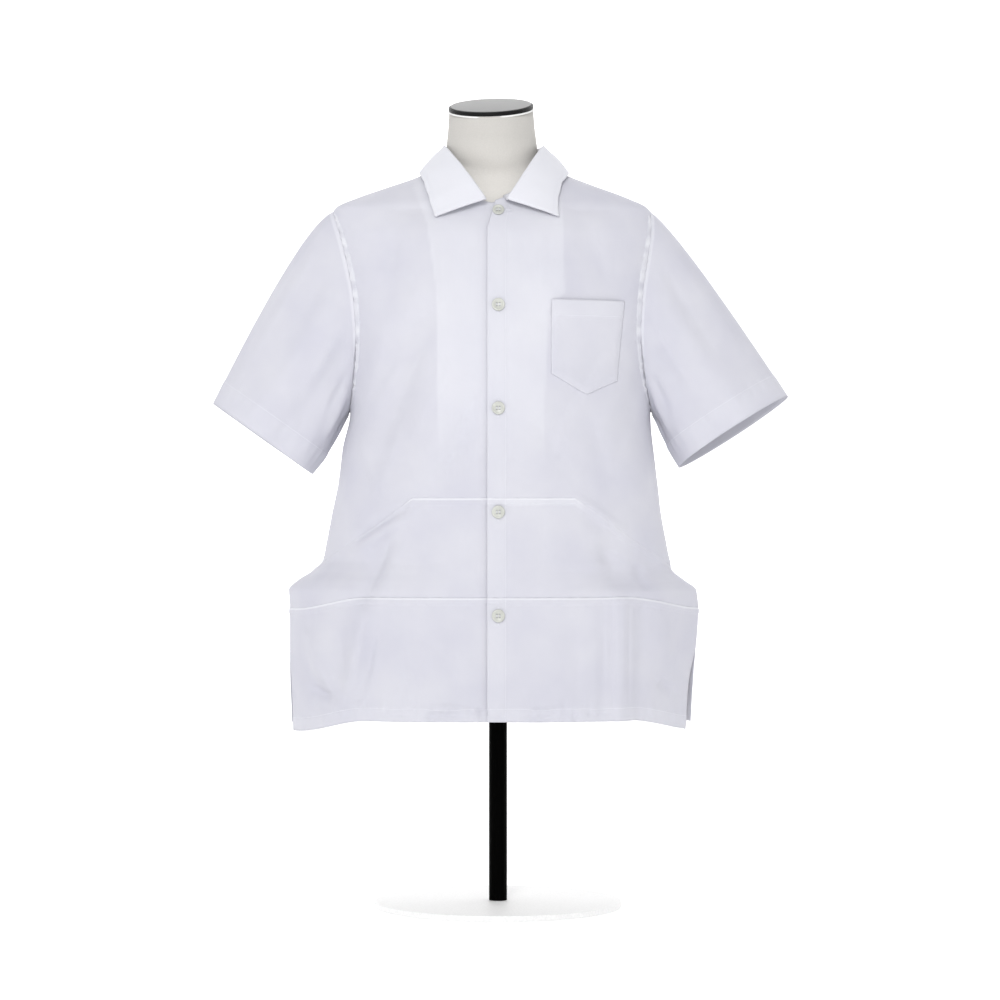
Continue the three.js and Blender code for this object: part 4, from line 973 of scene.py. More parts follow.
def collar_sections(sign, at):
    roll = roll_point(sign, at)
    along = roll_point(sign, np.minimum(1, at + 0.01)) - roll_point(sign, np.maximum(0, at - 0.01))
    along[:, 2] = 0
    along = unit(along)
    out = np.stack([sign * along[:, 1], -sign * along[:, 0], 0 * at], -1)
    up = np.array([0, 0, 1.0])
    base_turn = sign * collar_base_turn_at(at)
    base_z = np.where(np.abs(base_turn) > 1, back_neck_z(base_turn), front_neck_z(base_turn))
    base = body_point(base_turn, base_z) + up * BASE_LIFT - out * BASE_INSET
    roll_in = roll - out * ROLL_RADIUS - up * ROLL_RADIUS
    roll_out = roll + out * ROLL_RADIUS - up * ROLL_RADIUS
    farther = LEFT_POINT_TURN * (1 - smooth_step(at / LEFT_POINT_REACH)) if sign > 0 else 0
    edge_turn = sign * (collar_turn_at(at) + farther)
    edge_z = collar_edge_z_at(at)
    edge = body_point(edge_turn, edge_z) + body_normal(edge_turn, edge_z) * COLLAR_LIFT
    leaf = [mix(roll_out, edge, s) + out * COLLAR_CROWN for s in (0.34, 0.67)]
    return np.stack([base, mix(base, roll_in, 0.5), roll_in, roll, roll_out, *leaf, edge], 0)


def through_points(points, steps):
    """A smooth curve through rows of points, with the given number of steps between rows."""
    rows = []
    count = len(points)
    for i in range(count - 1):
        before = points[max(0, i - 1)]
        after = points[min(count - 1, i + 2)]
        for s in np.arange(steps[i]) / steps[i]:
            a, b = points[i], points[i + 1]
            length = np.linalg.norm(b - a, axis=-1, keepdims=True)
            ta = (b - before) / np.maximum(np.linalg.norm(b - before, axis=-1, keepdims=True), 1e-6)
            tb = (after - a) / np.maximum(np.linalg.norm(after - a, axis=-1, keepdims=True), 1e-6)
            rows.append(a * (1 + 2 * s) * (1 - s) ** 2 + b * s * s * (3 - 2 * s)
                        + length * (ta * s * (1 - s) ** 2 - tb * s * s * (1 - s)))
    rows.append(points[-1])
    return np.stack(rows, 0)


def add_collar(name, label, material):
    at = np.linspace(0, 1, 71)
    right = collar_sections(-1, at)
    left = collar_sections(1, at)
    whole = np.concatenate([right, left[:, ::-1][:, 1:]], 1)
    points = through_points(whole, [4, 4, 4, 4, 6, 6, 7])
    normals = grid_normals(points)
    up = arc(points, 0)
    left_over = up[-1:] - up
    run = arc(points, 1)
    lift = -COLLAR_STITCH_DEPTH * np.exp(-((left_over - COLLAR_STITCH_INSET) / 1.6) ** 2)
    lift = lift + ripple(run, up, seed=21, amplitude=0.3, long_wave=60, short_wave=24)
    points = points + normals * lift[..., None]
    keep_panel(name, points, normals)
    return grid_panel(label, points, run, up, material, thickness=COLLAR_WALL, layers_and_highlight=COLLAR_TONE)


# Chest pocket

POCKET_LEFT_X = 67.0
POCKET_TOP_RIGHT_X = 161.0
POCKET_LOW_RIGHT_X = 151.0
POCKET_TOP_Z = 781.0
POCKET_HEM = 22.0
# The three points of the lower edge: place across the pocket from 0 to 1, and height
POCKET_POINT_SHARES = [0, 0.54, 1]
POCKET_POINT_Z = [687, 661, 679]
POCKET_LIFT = 0.75
POCKET_CROWN = 1.3
POCKET_HEM_RISE = 0.55
POCKET_MOUTH_GAPE = 0.7


def add_pocket(name, label, material):
    across = np.linspace(0, 1, 41)[None, :]
    up = np.linspace(0, 1, 51)[:, None]
    low = np.interp(across, POCKET_POINT_SHARES, POCKET_POINT_Z)
    z = mix(low, POCKET_TOP_Z, up)
    x = mix(POCKET_LEFT_X, mix(POCKET_LOW_RIGHT_X, POCKET_TOP_RIGHT_X, up), across)
    turn = turn_of_x(x, z)
    points, normals = front_surface(LEFT, turn, z)
    height = arc(points, 0)
    below = height[-1:] - height
    run = arc(points, 1)
    edge = np.minimum(np.minimum(run, run[:, -1:] - run), height)
    lift = POCKET_LIFT + POCKET_CROWN * smooth_step(edge / 9)
    mouth = POCKET_MOUTH_GAPE * smooth_step(1 - below / 26) * smooth_step(edge / 20)
    lift = lift + POCKET_HEM_RISE * smooth_step((POCKET_HEM - below) / 2.5) + mouth
    lift = lift + pucker(run + height, edge - 3, wave=12, reach=7, size=0.22, seed=31)
    points = points + normals * lift[..., None]
    layers_and_highlight = 0.06 + 0.1 * near_line(below, POCKET_HEM)
    return add_panel(name, label, points, normals, material, layers_and_highlight)


# Stitching

def edge_line(name, edge, distance, begin=0.0, end=1.0):
    """A line on a panel at a distance from one of its edges: low, high, first or last."""
    points, normals = panels[name]["points"], panels[name]["normals"]
    if edge in ("first", "last"):
        points, normals = points.transpose(1, 0, 2), normals.transpose(1, 0, 2)
    if edge in ("high", "last"):
        points, normals = points[::-1], normals[::-1]
    run = arc(points, 0)
    line, up = [], []
    for column in range(points.shape[1]):
        line.append([np.interp(distance, run[:, column], points[:, column, i]) for i in range(3)])
        up.append([np.interp(distance, run[:, column], normals[:, column, i]) for i in range(3)])
    line, up = np.array(line), np.array(up)
    low, high = int(begin * (len(line) - 1)), int(math.ceil(end * (len(line) - 1)))
    return line[low:high + 1], up[low:high + 1]


def add_stitches(name, lines, material, pitch=3.0, length=2.2, radius=0.26, sunk=0.05):
    """Rows of sewing thread along lines, one short rounded stitch after another."""
    bm = bmesh.new()
    for line, up in lines:
        steps = np.linalg.norm(np.diff(line, axis=0), axis=1)
        run = np.concatenate([[0], np.cumsum(steps)])
        for place in np.arange(pitch / 2, run[-1] - pitch / 4, pitch):
            ends = [np.array([np.interp(place + s, run, line[:, i]) for i in range(3)])
                    for s in (-length / 2, length / 2)]
            normal = Vector([np.interp(place, run, up[:, i]) for i in range(3)]).normalized()
            along = Vector(ends[1] - ends[0]).normalized()
            side = normal.cross(along).normalized()
            normal = along.cross(side)
            centre = Vector((ends[0] + ends[1]) / 2) + normal * (radius * 0.6 - sunk)
            turn = Matrix((side, normal, along)).transposed().to_4x4()
            matrix = Matrix.Translation(centre * MM) @ turn @ Matrix.Diagonal((1, 0.7, 1, 1))
            bmesh.ops.create_cone(bm, cap_ends=True, segments=5, radius1=radius * MM,
                                  radius2=radius * MM, depth=length * MM, matrix=matrix)
    return new_object(name, bm, material, smooth=False)


# Materials

def material_nodes(name):
    material = bpy.data.materials.new(name)
    material.use_nodes = True
    nodes = material.node_tree.nodes
    return material, nodes, material.node_tree.links, nodes["Principled BSDF"]


def poplin():
    material, nodes, links, shader = material_nodes("white poplin")
    shader.inputs["Roughness"].default_value = 0.82
    shader.inputs["Sheen Weight"].default_value = 0.12
    shader.inputs["Sheen Roughness"].default_value = 0.5
    shader.inputs["Specular IOR Level"].default_value = 0.25
    uv = nodes.new("ShaderNodeUVMap")
    uv.uv_map = "cloth"
    heights = []
    for direction, pitch in (("X", 0.00042), ("Y", 0.00052)):
        wave = nodes.new("ShaderNodeTexWave")
        wave.wave_type = "BANDS"
        wave.bands_direction = direction
        wave.inputs["Scale"].default_value = 0.314 / pitch
        wave.inputs["Distortion"].default_value = 0.4
        wave.inputs["Detail"].default_value = 1
        links.new(uv.outputs["UV"], wave.inputs["Vector"])
        heights.append(wave)
    weave = nodes.new("ShaderNodeMath")
    weave.operation = "MAXIMUM"
    for i, wave in enumerate(heights):
        links.new(wave.outputs["Fac"], weave.inputs[i])
    bump = nodes.new("ShaderNodeBump")
    bump.inputs["Strength"].default_value = 0.25
    bump.inputs["Distance"].default_value = 0.00008
    links.new(weave.outputs[0], bump.inputs["Height"])
    place = nodes.new("ShaderNodeTexCoord")
    soft = nodes.new("ShaderNodeTexNoise")
    soft.inputs["Scale"].default_value = 38
    soft.inputs["Detail"].default_value = 5
    soft.inputs["Roughness"].default_value = 0.55
    links.new(place.outputs["Object"], soft.inputs["Vector"])
    crush = nodes.new("ShaderNodeBump")
    crush.inputs["Strength"].default_value = 0.35
    crush.inputs["Distance"].default_value = 0.0012
    links.new(soft.outputs["Fac"], crush.inputs["Height"])
    links.new(bump.outputs["Normal"], crush.inputs["Normal"])
    links.new(crush.outputs["Normal"], shader.inputs["Normal"])
    shade = nodes.new("ShaderNodeTexNoise")
    shade.inputs["Scale"].default_value = 13
    shade.inputs["Detail"].default_value = 3
    links.new(place.outputs["Object"], shade.inputs["Vector"])
    ramp = nodes.new("ShaderNodeValToRGB")
    ramp.color_ramp.elements[0].position = 0.3
    ramp.color_ramp.elements[0].color = (0.543, 0.543, 0.612, 1)
    ramp.color_ramp.elements[1].position = 0.7
    ramp.color_ramp.elements[1].color = (0.592, 0.592, 0.645, 1)
    links.new(shade.outputs["Fac"], ramp.inputs["Fac"])
    # whiter cloth where it lies in two layers, and painted highlights along seams and gathered armholes
    layers = nodes.new("ShaderNodeAttribute")
    layers.attribute_name = "layers_and_highlight"
    whiter = nodes.new("ShaderNodeMix")
    whiter.data_type = "RGBA"
    links.new(layers.outputs["Fac"], whiter.inputs["Factor"])
    links.new(ramp.outputs["Color"], whiter.inputs["A"])
    whiter.inputs["B"].default_value = (0.71, 0.715, 0.76, 1)
    links.new(whiter.outputs["Result"], shader.inputs["Base Color"])
    return material


def plain_finish(name, colour, roughness, grain=120, depth=0.0001, strength=0.15, spread=0.04):
    """A finish with a faint grain and slight changes of tone."""
    material, nodes, links, shader = material_nodes(name)
    place = nodes.new("ShaderNodeTexCoord")
    noise = nodes.new("ShaderNodeTexNoise")
    noise.inputs["Scale"].default_value = grain
    noise.inputs["Detail"].default_value = 4
    links.new(place.outputs["Object"], noise.inputs["Vector"])
    ramp = nodes.new("ShaderNodeValToRGB")
    dark = [c * (1 - spread) for c in colour]
    light = [min(1, c * (1 + spread)) for c in colour]
    ramp.color_ramp.elements[0].position = 0.35
    ramp.color_ramp.elements[0].color = (*dark, 1)
    ramp.color_ramp.elements[1].position = 0.65
    ramp.color_ramp.elements[1].color = (*light, 1)
    links.new(noise.outputs["Fac"], ramp.inputs["Fac"])
    links.new(ramp.outputs["Color"], shader.inputs["Base Color"])
    rough = nodes.new("ShaderNodeMapRange")
    rough.inputs["To Min"].default_value = max(0, roughness - 0.05)
    rough.inputs["To Max"].default_value = min(1, roughness + 0.05)
    links.new(noise.outputs["Fac"], rough.inputs["Value"])
    links.new(rough.outputs["Result"], shader.inputs["Roughness"])
    bump = nodes.new("ShaderNodeBump")
    bump.inputs["Strength"].default_value = strength
    bump.inputs["Distance"].default_value = depth
    links.new(noise.outputs["Fac"], bump.inputs["Height"])
    links.new(bump.outputs["Normal"], shader.inputs["Normal"])
    return material


# Dress form and stand

# height, half width, shift, front depth, back depth
FORM_SECTIONS = np.array([
    (292, 150, 0, 98, 96),
    (298, 156, 0, 104, 101),
    (380, 160, 0, 107, 104),
    (470, 153, 0, 104, 100),
    (560, 143, 0, 100, 96),
    (640, 147, 0, 105, 101),
    (740, 164, 0, 108, 108),
    (830, 180, -3, 100, 108),
    (880, 188, -7, 85, 98),
    (903, 187, -8, 73, 92),
    (912, 180, -8, 68, 88),
    (918, 170, -8, 64, 84),
    (930.4, 139.5, -7, 55.5, 77),
    (944, 101.5, -5, 46.5, 67),
    (950, 83.5, -5, 47, 62),
    (958, 63.5, -5.5, 51, 55),
    (968, 60.5, -7.5, 56, 51),
    (985, 59, -8, 61, 47),
    (1012, 56, -8.5, 66, 42),
])
CAP_CENTRE = np.array([-9.0, -14.0, 1034.0])
CAP_HALF_WIDTH = 55.0
CAP_HALF_DEPTH = 55.5
CAP_RIM_HEIGHT = 4.6
CAP_RIM_EDGE = 0.9
CAP_TOP_INSET = 2.6
CAP_TOP_THICKNESS = 1.0
CAP_TOP_EDGE = 0.35
CAP_TOP_GAP = 0.3
# Section of the piping below the cap: distance beyond the cap's half width, and height from its underside
PIPING_PROFILE = [(-3, -2.4), (-0.1, -2.3), (0.3, -1.2), (-0.1, -0.25), (-3, -0.25), (-3, -2.4)]
FORM_SEGMENTS = 96
FORM_TOP_CENTRE = (-8.5, -12.0)
FORM_TOP_NARROWING = 0.97
FORM_TO_CAP = 0.3
cap_normal = Vector((0, 0, 1))
cap_normal.rotate(Matrix.Rotation(math.radians(16), 3, "X"))
cap_normal.rotate(Matrix.Rotation(math.radians(-2), 3, "Y"))
PLATE_RADIUS = 160.0
PLATE_HEIGHT = 8.0


def add_form(material):
    """The torso of the dress form: rings bridged into one closed body up to the slanted cap."""
    foot = [292, 293.5, 295.5, 298]
    heights = np.concatenate([foot, np.linspace(303, 944, 60), np.linspace(947, 1012, 20)])
    curves = [column_curve(FORM_SECTIONS[:, 0], FORM_SECTIONS[:, i]) for i in range(1, 5)]
    angle = 2 * math.pi * np.arange(FORM_SEGMENTS) / FORM_SEGMENTS
    ahead = np.cos(angle)
    rings = []
    for z in heights:
        half, shift, front, back = [float(c(np.array([z]))[0]) for c in curves]
        depth = np.where(ahead > 0, front, back)
        rings.append(np.stack([shift + half * np.sin(angle), -depth * ahead, 0 * ahead + z], -1))
    under = CAP_CENTRE - np.array(cap_normal) * FORM_TO_CAP
    last = rings[-1]
    for share in (0.5, 1.0):
        x = under[0] + (last[:, 0] - FORM_TOP_CENTRE[0]) * FORM_TOP_NARROWING
        y = under[1] + last[:, 1] - FORM_TOP_CENTRE[1]
        z = under[2] - (cap_normal.x * (x - under[0]) + cap_normal.y * (y - under[1])) / cap_normal.z
        rings.append(mix(last, np.stack([x, y, z], -1), share))
    bm = bmesh.new()
    loops = []
    for ring in rings:
        made_ring = bmesh.ops.create_circle(bm, segments=FORM_SEGMENTS, radius=1)["verts"]
        for vert, place in zip(made_ring, ring):
            vert.co = place * MM
        loops.append(sorted({e for v in made_ring for e in v.link_edges}, key=lambda e: e.index))
    for low, high in zip(loops, loops[1:]):
        bmesh.ops.bridge_loops(bm, edges=low + high)
    bmesh.ops.contextual_create(bm, geom=loops[0])
    bmesh.ops.contextual_create(bm, geom=loops[-1])
    bmesh.ops.recalc_face_normals(bm, faces=bm.faces[:])
    return new_object("form_torso_cover", bm, material)


def turned(profile, segments=96):
    """A round solid spun from a profile of radius and height in millimetres."""
    bm = bmesh.new()
    verts = [bm.verts.new((r * MM, 0, h * MM)) for r, h in profile]
    edges = [bm.edges.new(pair) for pair in zip(verts, verts[1:])]
    bmesh.ops.spin(bm, geom=verts + edges, cent=(0, 0, 0), axis=(0, 0, 1), angle=2 * math.pi,
                   steps=segments, use_merge=True, use_duplicate=False)
    bmesh.ops.remove_doubles(bm, verts=bm.verts[:], dist=1e-6)
    bmesh.ops.recalc_face_normals(bm, faces=bm.faces[:])
    return bm


def place_mesh(bm, matrix):
    bmesh.ops.transform(bm, matrix=matrix, verts=bm.verts[:])


def cap_matrix(lift):
    place = Vector(CAP_CENTRE) + cap_normal * lift
    turn = Vector((0, 0, 1)).rotation_difference(cap_normal).to_matrix().to_4x4()
    return Matrix.Translation(place * MM) @ turn @ Matrix.Diagonal((1, CAP_HALF_DEPTH / CAP_HALF_WIDTH, 1, 1))


def lower_corner(radius, edge):
    """The rounded lower edge of a disc, from its foot outwards."""
    return [(radius - edge + edge * math.sin(a), edge - edge * math.cos(a))
            for a in np.linspace(0, math.pi / 2, 5)]


def edged_disc(radius, height, edge):
    """Profile of a disc with rounded edges."""
    corner = lower_corner(radius, edge)
    upper = [(r, height - h) for r, h in reversed(corner)]
    return [(0, 0)] + corner + upper + [(0, height)]


def add_cap():
    bm = turned(edged_disc(CAP_HALF_WIDTH, CAP_RIM_HEIGHT, CAP_RIM_EDGE))
    place_mesh(bm, cap_matrix(0))
    rim = new_object("neck_cap_black_rim", bm, cap_rim_paint)
    bm = turned(edged_disc(CAP_HALF_WIDTH - CAP_TOP_INSET, CAP_TOP_THICKNESS, CAP_TOP_EDGE))
    place_mesh(bm, cap_matrix(CAP_RIM_HEIGHT + CAP_TOP_GAP))
    top = new_object("neck_cap_grey_top", bm, cap_top_paint)
    bm = turned([(CAP_HALF_WIDTH + beyond, height) for beyond, height in PIPING_PROFILE])
    place_mesh(bm, cap_matrix(0))
    welt = new_object("neck_piping", bm, piping)
    return rim, top, welt


# Buttons
BUTTON_X = 0.5
BUTTON_SEAT = 0.35
BUTTON_THICKNESS = 2.8
BUTTON_FOOT_EDGE = 0.7
BUTTON_CROWN_EDGE = 1.1
# The dish inside the rim: distance in from the rim, depth below the top
BUTTON_DISH = [(2.0, 0.06), (2.6, 0.5), (3.3, 0.85)]
BUTTON_DISH_DEPTH = 0.95
BUTTON_FLOOR_DEPTH = 0.92
BUTTON_HOLE_OFFSET = 1.75
BUTTON_HOLE_RADIUS = 0.95
BUTTON_THREAD_OFFSET = 0.35
BUTTON_THREAD_RADIUS = 0.32


def on_left_front(x, z, above):
    """The axes of something that sits on the left front, at a height above its cloth."""
    x, z = np.array([float(x)]), np.array([float(z)])
    point, normal = front_surface(LEFT, turn_of_x(x, z), z)
    normal = Vector(normal[0])
    up = (Vector((0, 0, 1)) - normal * normal.z).normalized()
    axes = Matrix((up.cross(normal), up, normal)).transposed().to_4x4()
    return Matrix.Translation((Vector(point[0]) + normal * above) * MM) @ axes


def add_button(name, z, radius):
    """A four-hole button with its rim, dish, dark discs of painted shadow in its holes and two upright bars
    of thread.
    """
    here = on_left_front(BUTTON_X, z, BUTTON_SEAT)
    thick = BUTTON_THICKNESS
    edge = BUTTON_CROWN_EDGE
    crown = [(radius - edge + edge * math.cos(a), thick - edge + edge * math.sin(a))
             for a in np.linspace(0, math.pi / 2, 6)]
    dish = [(radius - inset, thick - depth) for inset, depth in BUTTON_DISH]
    middle = [(0, thick - BUTTON_DISH_DEPTH)]
    bm = turned([(0, 0)] + lower_corner(radius, BUTTON_FOOT_EDGE) + crown + dish + middle, 40)
    place_mesh(bm, here)
    disc = new_object(name, bm, button_shell)
    floor_level = thick - BUTTON_FLOOR_DEPTH
    hole = BUTTON_HOLE_OFFSET
    # painted shadow: a thin dark disc deep in each hole
    bm = bmesh.new()
    for sx in (-1, 1):
        for sy in (-1, 1):
            spot = here @ Matrix.Translation(Vector((sx * hole, sy * hole, floor_level + 0.04)) * MM)
            bmesh.ops.create_cone(bm, cap_ends=True, segments=14, radius1=BUTTON_HOLE_RADIUS * MM,
                                  radius2=BUTTON_HOLE_RADIUS * MM, depth=0.1 * MM, matrix=spot)
    holes = new_object(name + "_holes", bm, button_hole_dark, smooth=False)
    bm = bmesh.new()
    for sx in (-1, 1):
        for shift in (-BUTTON_THREAD_OFFSET, BUTTON_THREAD_OFFSET):
            lay = Matrix.Rotation(math.pi / 2, 4, "X")
            spot = here @ Matrix.Translation(Vector((sx * hole + shift, 0, floor_level + 0.28)) * MM) @ lay
            bmesh.ops.create_cone(bm, cap_ends=True, segments=8, radius1=BUTTON_THREAD_RADIUS * MM,
                                  radius2=BUTTON_THREAD_RADIUS * MM, depth=2 * hole * MM, matrix=spot)
    sewn = new_object(name + "_thread", bm, thread)
    return disc, holes, sewn


BUTTONHOLE_SEAT = 0.02
BUTTONHOLE_WORK = 2.2
BUTTONHOLE_RISE = 0.45
BUTTONHOLE_WIDTH = 3.4


def add_buttonhole(name, x, z, long, wide, level):
    """A worked buttonhole: a raised oval of thread around its slit."""
    here = on_left_front(x, z, BUTTONHOLE_SEAT)
    size = (long, wide) if level else (wide, long)
    slit = [length - BUTTONHOLE_WORK for length in size]
    bm = bmesh.new()
    outer = bmesh.ops.create_circle(bm, segments=32, radius=0.5)["verts"]
    inner = bmesh.ops.create_circle(bm, segments=32, radius=0.5)["verts"]
    bmesh.ops.scale(bm, vec=(size[0] * MM, size[1] * MM, 1), verts=outer)
    bmesh.ops.scale(bm, vec=(slit[0] * MM, slit[1] * MM, 1), verts=inner)
    ring = {e for v in outer + inner for e in v.link_edges}
    faces = bmesh.ops.bridge_loops(bm, edges=list(ring))["faces"]
    raised = bmesh.ops.extrude_face_region(bm, geom=faces)["geom"]
    moved = [v for v in raised if isinstance(v, bmesh.types.BMVert)]
    bmesh.ops.translate(bm, vec=(0, 0, BUTTONHOLE_RISE * MM), verts=moved)
    bmesh.ops.recalc_face_normals(bm, faces=bm.faces[:])
    place_mesh(bm, here)
    return new_object(name, bm, thread, smooth=False)


def painted_light_below(material, high, low, times):
    """Paints light onto a finish: paler down from one height to another, in metres."""
    nodes, links = material.node_tree.nodes, material.node_tree.links
    base = nodes["Principled BSDF"].inputs["Base Color"]
    place = nodes.new("ShaderNodeTexCoord")
    apart = nodes.new("ShaderNodeSeparateXYZ")
    share = nodes.new("ShaderNodeMapRange")
    scale = nodes.new("ShaderNodeVectorMath")
    scale.operation = "SCALE"
    share.inputs["From Min"].default_value = high
    share.inputs["From Max"].default_value = low
    share.inputs["To Min"].default_value = 1
    share.inputs["To Max"].default_value = times
    links.new(place.outputs["Object"], apart.inputs["Vector"])
    links.new(apart.outputs["Z"], share.inputs["Value"])
    links.new(share.outputs["Result"], scale.inputs["Scale"])
    links.new(base.links[0].from_socket, scale.inputs[0])
    links.new(scale.outputs["Vector"], base)


cloth = poplin()
thread = plain_finish("white sewing thread", (0.70, 0.705, 0.76), 0.7, grain=900)
button_shell = plain_finish("pale button", (0.52, 0.53, 0.49), 0.3, grain=60, spread=0.08)
button_hole_dark = plain_finish("shadow of the button holes", (0.12, 0.12, 0.12), 0.8)
form_cover = plain_finish("dress form cover", (0.515, 0.5, 0.475), 0.9, grain=700, depth=0.0002,
                          strength=0.3, spread=0.03)
# painted light: the neck of the form paler lower down, where the collar's shade falls
painted_light_below(form_cover, 0.995, 0.925, 1.38)
piping = plain_finish("pale piping", (0.85, 0.85, 0.84), 0.7)
cap_rim_paint = plain_finish("black satin paint of the cap rim", (0.004, 0.004, 0.004), 0.4)
cap_rim_paint.node_tree.nodes["Principled BSDF"].inputs["Specular IOR Level"].default_value = 0.15
cap_top_paint = plain_finish("grey satin paint of the cap", (0.25, 0.25, 0.25), 0.45)
pole_paint = plain_finish("black powder coat of the pole", (0.001, 0.001, 0.001), 0.45, grain=400)
pole_paint.node_tree.nodes["Principled BSDF"].inputs["Specular IOR Level"].default_value = 0.01
plate_paint = plain_finish("pale powder coat of the base", (0.86, 0.86, 0.86), 0.5, grain=400)

# The shirt

made = {}
made["front_right"] = upper_front("front_right", "right_front", RIGHT, cloth)
made["front_left"] = upper_front("front_left", "left_front", LEFT, cloth)
made["mid_right"] = middle_front("mid_right", "right_middle_tier", RIGHT, cloth)
made["mid_left"] = middle_front("mid_left", "left_middle_tier", LEFT, cloth)
made["band_right"] = front_band("band_right", "right_lower_band", RIGHT, cloth)
made["band_left"] = front_band("band_left", "left_lower_band", LEFT, cloth)
made["back_body"] = upper_back("back_body", "back", cloth)
made["back_mid"] = middle_back("back_mid", "back_middle_tier", cloth)
made["back_band"] = back_band("back_band", "back_lower_band", cloth)
made["sleeve_right"] = add_sleeve("sleeve_right", "right_sleeve", RIGHT, SLEEVE_RIGHT, cloth, 41)
made["sleeve_left"] = add_sleeve("sleeve_left", "left_sleeve", LEFT, SLEEVE_LEFT, cloth, 43)
made["collar"] = add_collar("collar", "turned_collar", cloth)
made["chest_pocket"] = add_pocket("chest_pocket", "pocket", cloth)

torso = add_form(form_cover)
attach(torso, "root")
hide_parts("form_torso")
cap_rim, cap_top, welt = add_cap()
for piece, node, slot in ((cap_rim, "neck_cap_rim", "cap_rim"), (cap_top, "neck_cap_top", "cap_top")):
    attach(piece, "root")
    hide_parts(node)
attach(welt, "root")

plate_body = turned(edged_disc(PLATE_RADIUS, PLATE_HEIGHT, 1.5), 160)
plate = new_object("round_base_plate", plate_body, plate_paint)
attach(plate, "root")
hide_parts("base_plate")
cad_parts["pole"].data.materials.clear()
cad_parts["pole"].data.materials.append(pole_paint)

going_along = {}
# Height and radius of each button
BUTTONS = [(896.5, 7.6), (774, 8.3), (643.5, 8.3), (513, 8.3), (382.5, 8.3)]
for number, (z, radius) in enumerate(BUTTONS, 1):
    disc, holes, sewn = add_button(f"shirt_button_{number}", z, radius)
    for piece in (disc, holes, sewn):
        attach(piece, "root")
    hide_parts(f"button_{number}")
    if number == 1:
        worked = add_buttonhole("buttonhole_1", 9, z, 21, BUTTONHOLE_WIDTH, True)
    else:
        worked = add_buttonhole(f"buttonhole_{number}", BUTTON_X, z, 23, BUTTONHOLE_WIDTH, False)
    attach(worked, "root")
    sheet = "front_left" if number <= 3 else ("mid_left", "band_left")[number - 4]
    going_along.setdefault(sheet, []).extend([disc, holes, sewn, worked])

# Panel, its edge, distance from that edge, and where the row starts and ends as shares of the edge
SEAM_ROWS = {
    "hem_stitching": [("band_right", "low", 16.5), ("band_left", "low", 16.5), ("back_band", "low", 16.5)],
    "tier_stitching": [("mid_left", "high", 7.0, 0.0, 0.35), ("back_mid", "high", 7.0, 0.3, 0.7)],
    "placket_stitching": [(node, "first", distance) for distance in (1.8, 23.6)
                          for node in ("front_left", "mid_left", "band_left")],
    "sleeve_hem_stitching": [("sleeve_right", "high", 32.0), ("sleeve_left", "high", 32.0)],
    "collar_stitching": [("collar", "high", COLLAR_STITCH_INSET)],
    "pocket_stitching": [("chest_pocket", "low", 1.6), ("chest_pocket", "first", 1.6),
                         ("chest_pocket", "last", 1.6), ("chest_pocket", "high", 20.5)],
}
for label, rows in SEAM_ROWS.items():
    row = add_stitches(label, [edge_line(*line) for line in rows], thread)
    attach(row, "root")
    going_along.setdefault(rows[-1][0], []).append(row)

arm_lines = []
for node, edge in (("front_right", "first"), ("front_left", "last")):
    arm_lines.append(edge_line(node, edge, 8.4, 0.36, 0.88))
for edge in ("first", "last"):
    arm_lines.append(edge_line("back_body", edge, 8.4, 0.44, 0.88))
arm_stitches = add_stitches("armhole_stitching", arm_lines, thread)
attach(arm_stitches, "root")
going_along.setdefault("back_body", []).append(arm_stitches)

# Each shirt piece goes on the root body in place of its part from model.glb
for node, piece in made.items():
    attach(piece, "root")
    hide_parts(node)

# Camera, light and floor

def lit_paper(name, tone, glow):
    """A pale studio surface that gives off a little light of its own."""
    paper = plain_finish(name, (tone, tone, tone), 0.9, grain=5, spread=0.005)
    shader = paper.node_tree.nodes["Principled BSDF"]
    shader.inputs["Emission Color"].default_value = (1, 1, 1, 1)
    shader.inputs["Emission Strength"].default_value = glow
    return paper


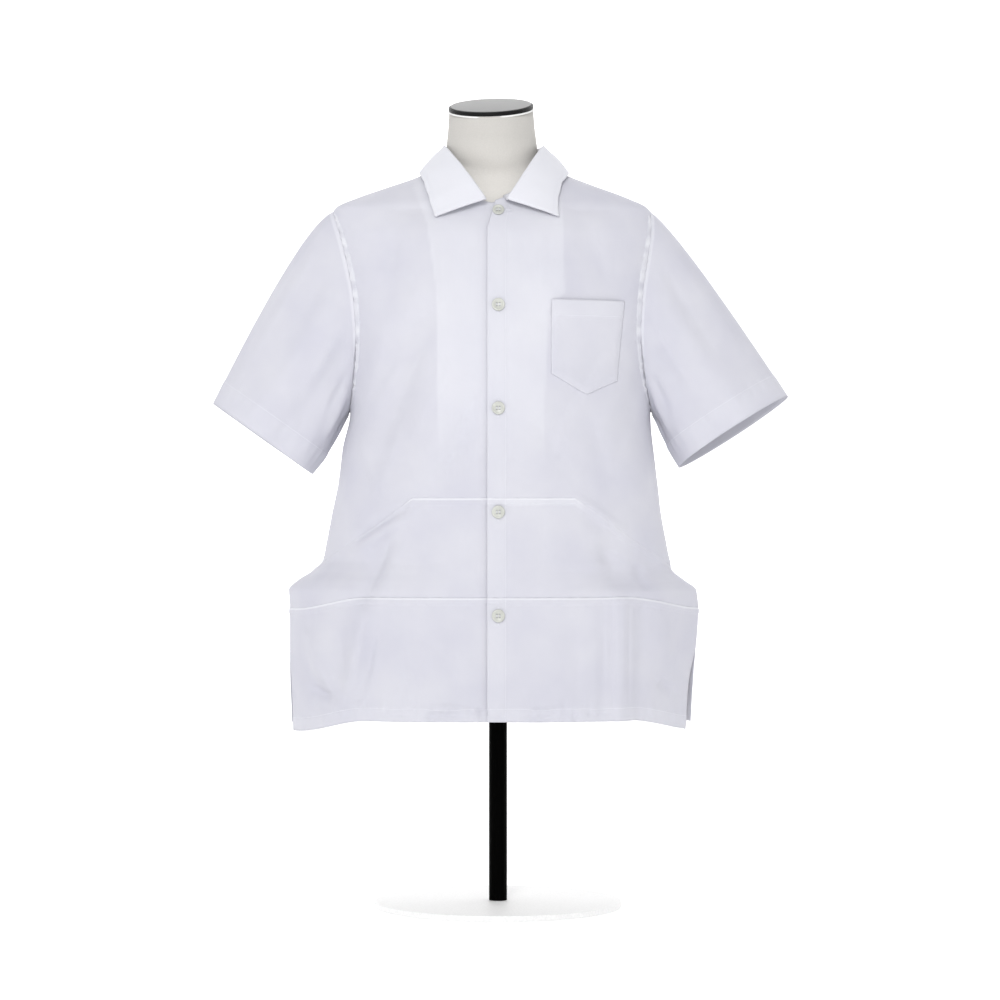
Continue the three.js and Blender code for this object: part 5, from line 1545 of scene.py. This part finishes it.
floor_mesh = bmesh.new()
bmesh.ops.create_grid(floor_mesh, x_segments=1, y_segments=1, size=40)
floor = new_object("studio_floor", floor_mesh, lit_paper("pale studio floor", 0.93, 0.2), smooth=False)
wall_mesh = bmesh.new()
bmesh.ops.create_grid(wall_mesh, x_segments=1, y_segments=1, size=20,
                      matrix=Matrix.Translation((0, 7, 0)) @ Matrix.Rotation(math.pi / 2, 4, "X"))
backdrop = new_object("studio_wall", wall_mesh, lit_paper("white studio wall", 0.9, 0.7), smooth=False)

world = bpy.data.worlds.new("studio")
bpy.context.scene.world = world
world.use_nodes = True
sky = world.node_tree
way = sky.nodes.new("ShaderNodeTexCoord")
upward = sky.nodes.new("ShaderNodeSeparateXYZ")
fade = sky.nodes.new("ShaderNodeMapRange")
fade.inputs["From Min"].default_value = 0.2
fade.inputs["From Max"].default_value = 0.7
fade.inputs["To Min"].default_value = 1.0
fade.inputs["To Max"].default_value = 0.6
sky.links.new(way.outputs["Generated"], upward.inputs["Vector"])
sky.links.new(upward.outputs["Z"], fade.inputs["Value"])
sky.links.new(fade.outputs["Result"], sky.nodes["Background"].inputs["Strength"])
sky.nodes["Background"].inputs["Color"].default_value = (1, 1, 1, 1)


def add_light(name, place, aim, size, power):
    data = bpy.data.lights.new(name, "AREA")
    data.shape = "RECTANGLE"
    data.size, data.size_y = size
    data.energy = power
    lamp = bpy.data.objects.new(name, data)
    bpy.context.scene.collection.objects.link(lamp)
    lamp.location = place
    lamp.rotation_euler = (Vector(aim) - Vector(place)).to_track_quat("-Z", "Y").to_euler()
    return lamp


add_light("key_softbox", (-0.6, -3.6, 2.5), (0, 0, 0.6), (0.9, 0.9), 58)

camera_data = bpy.data.cameras.new("camera")
camera_data.lens = 116.3
camera_data.sensor_width = 36
camera = bpy.data.objects.new("camera", camera_data)
bpy.context.scene.collection.objects.link(camera)
camera.location = (0.0026, -4.2, 0.528)
camera.rotation_euler = (math.radians(90), 0, 0)
bpy.context.scene.camera = camera
bpy.context.scene.view_settings.view_transform = "Standard"
